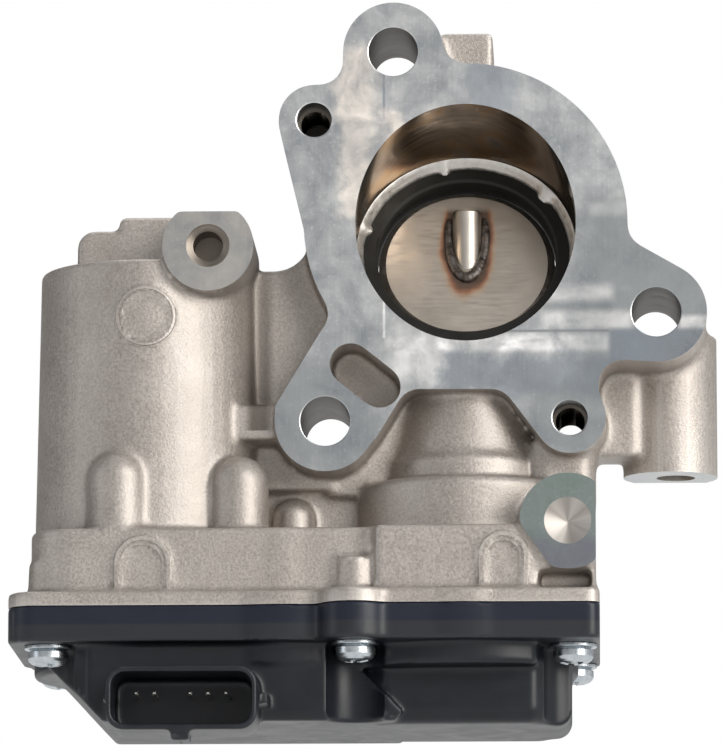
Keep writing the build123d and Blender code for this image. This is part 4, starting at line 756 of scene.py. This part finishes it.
def stainless(name, bright, dark, roughness, drawn, height):
    """Stainless steel with marks stretched to the given sizes, tinted by distance from the weld."""
    made, tree, shader, place = finish_of(name, metallic=1.0, roughness=roughness)
    sized = add(tree, "Mapping", {"Vector": place, "Scale": tuple(1 / step for step in drawn)})
    marks = add(tree, "TexNoise", {"Vector": sized, "Scale": 1.0, "Detail": 3.0})
    cloud = add(tree, "TexNoise", {"Vector": place, "Scale": 1 / 0.006, "Detail": 3.0})
    base = add(tree, "Mix", {0: cloud, 6: tone(dark), 7: tone(bright)}, data_type="RGBA")
    sized = add(tree, "Mapping", {"Vector": place, "Location": (0, 0, -TINT_CENTRE / TINT_HALF),
                                  "Scale": (1000 / BEAD_PATH_R, 0, 1000 / TINT_HALF)})
    reach = add(tree, "VectorMath", {0: sized}, operation="LENGTH")
    wander = add(tree, "MapRange", {0: cloud, 1: 0.3, 2: 0.7, 3: -0.14, 4: 0.14})
    reach = add(tree, "Math", {0: reach.outputs["Value"], 1: wander})
    reach = add(tree, "Math", {0: reach, 1: 0.4}, operation="MULTIPLY")
    tint, share = add(tree, "ValToRGB", {0: reach}), add(tree, "ValToRGB", {0: reach})
    set_stops(tint, ((0.40, "#4a3a30"), (0.49, "#5d3a25"), (0.54, "#a8663a"), (0.60, "#c9a57f")))
    set_stops(share, ((0.30, "#000000"), (0.38, "#f0f0f0"), (0.52, "#e4e4e4"), (0.66, "#000000")))
    high = add(tree, "SeparateXYZ", {0: place})
    below = add(tree, "MapRange", {0: high.outputs["Z"], 1: 0.0058, 2: 0.0044})
    share = add(tree, "Math", {0: share, 1: below}, operation="MULTIPLY")
    colour = add(tree, "Mix", {0: share, 6: base, 7: tint}, data_type="RGBA")
    lay_on(shader, colour, marks, (roughness * 0.8, roughness * 1.25), marks, height, 0.25)
    return made


# Disc: pickled sheet, satin warm grey with faint cross marks. Shaft: ground and lapped, a little brighter,
# with fine marks that run along it.
dress(stainless("pickled_stainless", "#cdc4b8", "#a89f94", 0.46, (0.004, 0.0006, 0.0006), 0.000002),
      "valve_disc")
dress(stainless("ground_stainless", "#d6cfc5", "#b0a89d", 0.4, (0.0005, 0.0005, 0.01), 0.000006),
      "valve_shaft")


def bead(rings=150, around=20):
    """Weld bead: a circle carried along the ellipse where a post of radius BEAD_PATH_R meets the disc's
    face, with ripples along it and both ends tapered shut."""
    t = np.radians(np.linspace(-BEAD_END, BEAD_END, rings))
    x, y = BEAD_PATH_R * np.sin(t), SHAFT_Y - BEAD_PATH_R * np.cos(t)
    path = np.stack([x, y, (math.cos(PORT_TILT) * y - DISC_DEPTH) / math.sin(PORT_TILT)], 1)
    ahead = np.gradient(path, axis=0)
    length = np.concatenate([[0], np.cumsum(np.linalg.norm(np.diff(path, axis=0), axis=1))])
    ahead /= np.linalg.norm(ahead, axis=1, keepdims=True)
    out = -port_axis
    side = np.cross(ahead, out)
    end = np.minimum(length, length[-1] - length)
    size = BEAD_R * np.sqrt(np.clip(end / 0.9, 0.003, 1)) * (1 + 0.03 * np.sin(length * 2 * math.pi / 0.8))
    size *= 1 + 0.08 * np.sin(length * 0.9) + 0.35 * np.exp(-(t / 0.7) ** 2)
    a = around_circle(around)[None, :, None]
    ring = size[:, None, None] * (np.cos(a) * side[:, None] + 0.8 * np.sin(a) * out)
    return skin_of("weld_surface", (path[:, None] + ring + 0.1 * out) / 1000)


# Weld metal: dark grey-brown oxide in patches of 1.3 mm, brown where it was hottest, half dull.
oxidised_weld, tree, shader, place = finish_of("oxidised_weld", metallic=0.75, roughness=0.42)
patch = add(tree, "TexNoise", {"Vector": place, "Scale": 1 / 0.0013, "Detail": 3.0})
ramp = add(tree, "ValToRGB", {0: patch})
set_stops(ramp, ((0.36, "#3a332e"), (0.5, "#5b534d"), (0.6, "#6a6866"), (0.68, "#6b5139"), (1.0, "#ffffff")))
lay_on(shader, ramp, patch, (0.34, 0.52), patch, 0.00004, 0.6)
weld = bead()
weld.data.materials.append(oxidised_weld)
smooth_by_angle(weld, 60)
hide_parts("weld_bead")
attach(weld, "butterfly")

# ---------------- gear cover
# Injection moulding in black glass-filled polyamide with the plug socket in one piece. It is screwed
# under the gear tray over a moulded silicone gasket.
COVER_VOXEL, COVER_ROUNDS = ((0.00034, 7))
gear_cover = merged_copy("gear_cover")
softened(gear_cover, COVER_VOXEL, COVER_ROUNDS, 0.35, 165000)

# Black polyamide: blue-black satin skin, fine spark grain 0.3 mm, and paler cloudy drifts where the
# glass fibre lies near the skin; handled edges are rubbed lighter.
black_polyamide, tree, shader, place = finish_of("black_polyamide", roughness=0.36, ior=1.53)
feed(shader, {"Specular IOR Level": 0.34})
grain = add(tree, "TexNoise", {"Vector": place, "Scale": 1 / 0.0003, "Detail": 2.0})
drift = add(tree, "TexNoise", {"Vector": place, "Scale": 1 / 0.007, "Detail": 5.0, "Distortion": 1.2})
colour = add(tree, "Mix", {0: drift, 6: tone("#0d0f14"), 7: tone("#1b1e26")}, data_type="RGBA")
edge = add(tree, "MapRange", {0: add(tree, "NewGeometry").outputs["Pointiness"],
                              1: 0.53, 2: 0.62, 3: 0.0, 4: 0.5})
# The band that clamps the gasket, above BAND_FOOT_Z: a painted blue sheen near the joint, and greyer
# below BAND_SPLIT_Z.
BAND_SPLIT_Z, BAND_FOOT_Z, BAND_FADE = -0.07, -0.0729, 0.0002
high = add(tree, "SeparateXYZ", {0: place})
for fade, tint, share in ((BAND_FADE, "#131a2b", 0.7), (-BAND_FADE, "#2c2e32", 0.55)):
    side = add(tree, "MapRange", {0: high.outputs["Z"], 1: BAND_SPLIT_Z - fade, 2: BAND_SPLIT_Z + fade,
                                  3: 0.0, 4: share})
    band = add(tree, "Math", {0: high.outputs["Z"], 1: BAND_FOOT_Z}, operation="GREATER_THAN")
    side = add(tree, "Math", {0: side, 1: band}, operation="MULTIPLY")
    colour = add(tree, "Mix", {0: side, 6: colour, 7: tone(tint)}, data_type="RGBA")
colour = add(tree, "Mix", {0: edge, 6: colour, 7: tone("#464a51")}, data_type="RGBA")
lay_on(shader, colour, drift, (0.34, 0.42), grain, 0.00002, 0.5)
gear_cover.data.materials.append(black_polyamide)
smooth_by_angle(gear_cover, 40)
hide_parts("gear_cover")
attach(gear_cover, "housing")

# Silicone and fluororubber: soft black-brown with a dusting of talc and no hard gloss.
dress(mottled("moulded_rubber", "#1b1817", "#3d3936", 0.0008, (0.52, 0.74), 0.00002, detail=4.0, ior=1.45),
      "cover_gasket", "shaft_seal")

# ---------------- cover screws
# Six thread-forming steel screws with a fixed washer and a pan head with a cross slot, bright zinc
# plated, driven up through the cover into the casting.
SCREW_SPOTS = [(-70.5, -3.0), (-18.5, -7.9), (18.0, -3.0), (-70.7, 30.0), (-22.5, 38.0), (18.0, 26.5)]
SEAT_Z, SCREW_TOP, CORE_R, THREAD_R, THREAD_PITCH = -72.9, -61.2, 1.3, 1.63, 1.0
HEAD_DEPTH = 3.5
HEAD_OUTLINE = [(0.0, 3.9), (0.1, 4.0), (0.5, 4.0), (0.62, 3.85), (0.68, 3.0), (0.95, 3.15), (1.1, 3.4),
                (2.2, 3.4), (2.7, 3.15), (3.05, 2.7), (3.3, 2.0), (3.44, 1.1), (3.49, 0.4),
                (HEAD_DEPTH, 0.02)]
SLOT_HALF, SLOT_DEPTH, SLOT_REACH = 0.45, 1.3, 2.3


def cover_screw(spot, turn, around=90, along_head=92, along_shank=70):
    """Head turned from HEAD_OUTLINE (depth below the cover, radius) with two crossed slots pressed up
    into it, and a shank whose radius is CORE_R plus a ridge that climbs THREAD_PITCH a turn."""
    t = around_circle(around)
    steps = np.linspace(0, len(HEAD_OUTLINE) - 1, along_head)
    places = np.arange(len(HEAD_OUTLINE))
    fine, wide = (np.interp(steps, places, row)[:, None] for row in np.array(HEAD_OUTLINE).T)
    x, y = wide * np.cos(t), wide * np.sin(t)
    a, b = x * math.cos(turn) + y * math.sin(turn), y * math.cos(turn) - x * math.sin(turn)
    slot = np.zeros_like(a)
    for along, across in ((a, b), (b, a)):
        wall = np.clip((SLOT_HALF + 0.15 - np.abs(across)) / 0.2, 0, 1)
        slot = np.maximum(slot, wall * np.clip((SLOT_REACH - np.abs(along)) / 0.7, 0, 1))
    depth = np.broadcast_to(fine, a.shape)
    pressed = np.minimum(depth, (HEAD_DEPTH - SLOT_DEPTH) * slot + depth * (1 - slot))
    lifted = np.where(slot > 0, pressed, depth)
    head = np.stack([x, y, SEAT_Z - np.where(depth > 1.6, lifted, depth)], -1)
    climb = np.linspace(SEAT_Z, SCREW_TOP, along_shank)[:, None]
    ridge = np.abs(((climb / THREAD_PITCH - t / (2 * math.pi)) % 1) - 0.5) * 2
    radius = CORE_R + (THREAD_R - CORE_R) * np.clip(1.9 * ridge - 0.7, 0, 1)
    radius = radius * np.clip((SCREW_TOP - climb + 0.25) / 0.9, 0.12, 1)
    shank = np.stack([radius * np.cos(t), radius * np.sin(t), climb + 0 * t], -1)
    points = np.concatenate([shank[::-1], head]) + np.array([*spot, 0])
    return skin_of("screw", points / 1000)


# Bright zinc: cool silver with a faint blue cast, cloudy crystals 1.2 mm across.
bright_zinc = mottled("bright_zinc", "#9aa3ab", "#dfe4e6", 0.0012, (0.22, 0.36), 0.00002, 0.2, metallic=1.0)
screws = joined("cover_screws_surface", [cover_screw(spot, 0.35 + 0.9 * index)
                                         for index, spot in enumerate(SCREW_SPOTS)])
screws.data.materials.append(bright_zinc)
smooth_by_angle(screws, 34)
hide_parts("cover_screws")
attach(screws, "housing")

# Plated steel of the motor's screws and of the insert moulded into the sector gear.
dress(bright_zinc, "motor_screws", "gear_insert")

# ---------------- terminals and sensor
# Five square brass terminals, tin plated, moulded into the socket, and two contact blades to the
# motor. Opposite the magnet sits a small glass-fibre board with the position chip.
dress(mottled("tin_plate", "#b9b7ae", "#eceae2", 0.0005, (0.15, 0.32), detail=3.0, metallic=1.0),
      "connector_pins", "motor_contacts")

# Board: green solder mask over a weave of 0.5 mm that shows faintly, with paler raised tracks. They are
# drawn 2.6 mm apart, twice the real 1.3 mm.
solder_mask, tree, shader, place = finish_of("solder_mask", roughness=0.3, ior=1.5)
weave = add(tree, "TexChecker", {"Vector": place, "Scale": 1 / 0.0005, "Color1": tone("#0d4a2b"),
                                 "Color2": tone("#115534")})
cloud = add(tree, "TexNoise", {"Vector": place, "Scale": 1 / 0.003, "Detail": 1.0})
tracks = add(tree, "TexWave", {"Vector": place, "Scale": 1 / 0.0013 / 6.2832, "Distortion": 0.0},
             bands_direction="X")
line = add(tree, "MapRange", {0: tracks.outputs["Fac"], 1: 0.82, 2: 0.9, 3: 0.0, 4: 0.8})
line = add(tree, "Math", {0: line, 1: cloud}, operation="MULTIPLY")
colour = add(tree, "Mix", {0: line, 6: weave, 7: tone("#2f8a54")}, data_type="RGBA")
lay_on(shader, colour, None, None, line, 0.00003, 0.7)
dress(solder_mask, "sensor_board")

# Chip: moulded epoxy, black with a fine matt blast 0.15 mm and grey flecks of filler.
dress(mottled("epoxy_mould", "#17181a", "#303236", 0.00015, None, 0.000015, 0.6, roughness=0.55, ior=1.5),
      "sensor_chip")

# ---------------- shaft bearings, spring and gears
# Hardened bearing steel for the ball bearing, pin, motor shaft and pinion; sintered bronze bushes
# soaked in oil; a torsion spring of drawn wire on a plastic sleeve; moulded polyamide gears.
dress(mottled("bearing_steel", "#aeb1b3", "#dcdedf", (0.006, 0.006, 0.00025), (0.1, 0.24), 0.000004,
              metallic=1.0), "bearing_outer_ring", "bearing_inner_ring", "bearing_balls",
      "intermediate_gear_pin", "motor_shaft", "motor_pinion")

# Sintered bronze: brown-gold, open pores 0.12 mm drawn at 0.25 mm, oily sheen in patches.
sintered_bronze, tree, shader, place = finish_of("sintered_bronze", metallic=0.9, roughness=0.4)
pores = add(tree, "TexVoronoi", {"Vector": place, "Scale": 1 / 0.00025})
hole = add(tree, "MapRange", {0: pores.outputs["Distance"], 1: 0.1, 2: 0.45})
colour = add(tree, "Mix", {0: hole, 6: tone("#4d3920"), 7: tone("#b08b55")}, data_type="RGBA")
oil = add(tree, "TexNoise", {"Vector": place, "Scale": 1 / 0.002, "Detail": 2.0})
lay_on(shader, colour, oil, (0.26, 0.55), hole, 0.00003, 0.6)
dress(sintered_bronze, "upper_shaft_bush", "intermediate_gear_bush", "motor_bushes")

# Spring wire: drawn carbon steel with die lines along the wire and a thin brown phosphate.
dress(mottled("drawn_wire", "#4a4643", "#8b8885", 0.0018, (0.28, 0.5), 0.000012, 0.6, 5.0,
              fine=[((0.004, 0.004, 0.00015), 2.0, 0)], metallic=0.9), "return_spring", "motor_wave_spring")

# Gear polyamide: dark brown-grey satin; natural polyamide: warm ivory, slightly waxy. Both carry
# flow marks of some 5 mm and a fine eroded grain of 0.2 mm.
GEARS = ("sector_gear", "intermediate_gear", "spring_sleeve")
for name, dark, pale, rough, nodes in (
        ("gear_polyamide", "#2a2623", "#3d3833", (0.34, 0.5), GEARS),
        ("natural_polyamide", "#cfc6ae", "#e6dfcb", (0.4, 0.56), ("brush_holder",))):
    dress(mottled(name, dark, pale, 0.005, rough, 0.000015, detail=4.0, fine=[(0.0002, 2.0, 0)],
                  warp=1.5, ior=1.53), *nodes)

# ---------------- motor
# Brushed DC motor: zinc-plated drawn can and end plate, ferrite arcs, a stack of steel sheet with
# enamelled copper windings, a copper commutator and carbon brushes.
motor_zinc, tree, shader, place = finish_of("motor_zinc", metallic=0.95, roughness=0.34)
draw = add(tree, "Mapping", {"Vector": place, "Scale": (1 / 0.0008, 1 / 0.0008, 1 / 0.012)})
lines = add(tree, "TexNoise", {"Vector": draw, "Scale": 1.0, "Detail": 3.0})
spangle = add(tree, "TexVoronoi", {"Vector": place, "Scale": 1 / 0.0022})
colour = add(tree, "Mix", {0: spangle.outputs["Distance"], 6: tone("#a4a7a8"), 7: tone("#c9cbc9")},
             data_type="RGBA")
lay_on(shader, colour, lines, (0.26, 0.44), lines, 0.00001, 0.5)
dress(motor_zinc, "motor_can", "motor_end_plate")

# Ferrite: dark grey ground ceramic with pits of 0.5 mm; carbon: finer, darker, dusty.
for name, dark, pale, rough, size, nodes in (
        ("ground_ferrite", "#29292b", "#47474a", (0.36, 0.54), 0.0005, ("motor_magnets", "sensor_magnet")),
        ("pressed_carbon", "#17171a", "#2f2f31", (0.52, 0.7), 0.0002, ("motor_brushes",))):
    dress(mottled(name, dark, pale, size, rough, 0.00002, 0.6, 4.0, harsh=0.7, ior=1.8), *nodes)

# Core: edges of electrical sheet 0.5 mm thick, stacked along the shaft. Its soft dark lines are drawn six
# times as coarse, 3.1 mm apart.
stacked_sheet, tree, shader, place = finish_of("stacked_sheet", metallic=0.8, roughness=0.42)
sheets = add(tree, "TexWave", {"Vector": place, "Scale": 1 / 0.0005 / 20, "Distortion": 0.3},
             bands_direction="Z")
sheets = sheets.outputs["Fac"]
colour = add(tree, "Mix", {0: sheets, 6: tone("#3d3e40"), 7: tone("#7d7f82")}, data_type="RGBA")
lay_on(shader, colour, None, None, sheets, 0.00006, 0.8)
dress(stacked_sheet, "armature_core")

# Windings: enamelled copper wire 0.45 mm thick lying side by side, red-brown with gloss, also drawn six
# times as coarse, 2.8 mm apart.
enamelled_copper, tree, shader, place = finish_of("enamelled_copper", metallic=0.75, roughness=0.28)
wires = add(tree, "TexWave", {"Vector": place, "Scale": 1 / 0.00045 / 20, "Distortion": 1.2, "Detail": 1.0},
            wave_type="BANDS", bands_direction="DIAGONAL")
wires = wires.outputs["Fac"]
colour = add(tree, "Mix", {0: wires, 6: tone("#5e2f1a"), 7: tone("#b8673a")}, data_type="RGBA")
lay_on(shader, colour, None, None, wires, 0.00015, 0.9)
dress(enamelled_copper, "armature_windings")

# Commutator: turned copper with rings 0.2 mm apart, bright on their crests and browned between them.
dress(mottled("turned_copper", "#8a4f31", "#d58b63", (0.005, 0.005, 0.0002), None, 0.00001, 0.6, metallic=1.0,
              roughness=0.26), "commutator")
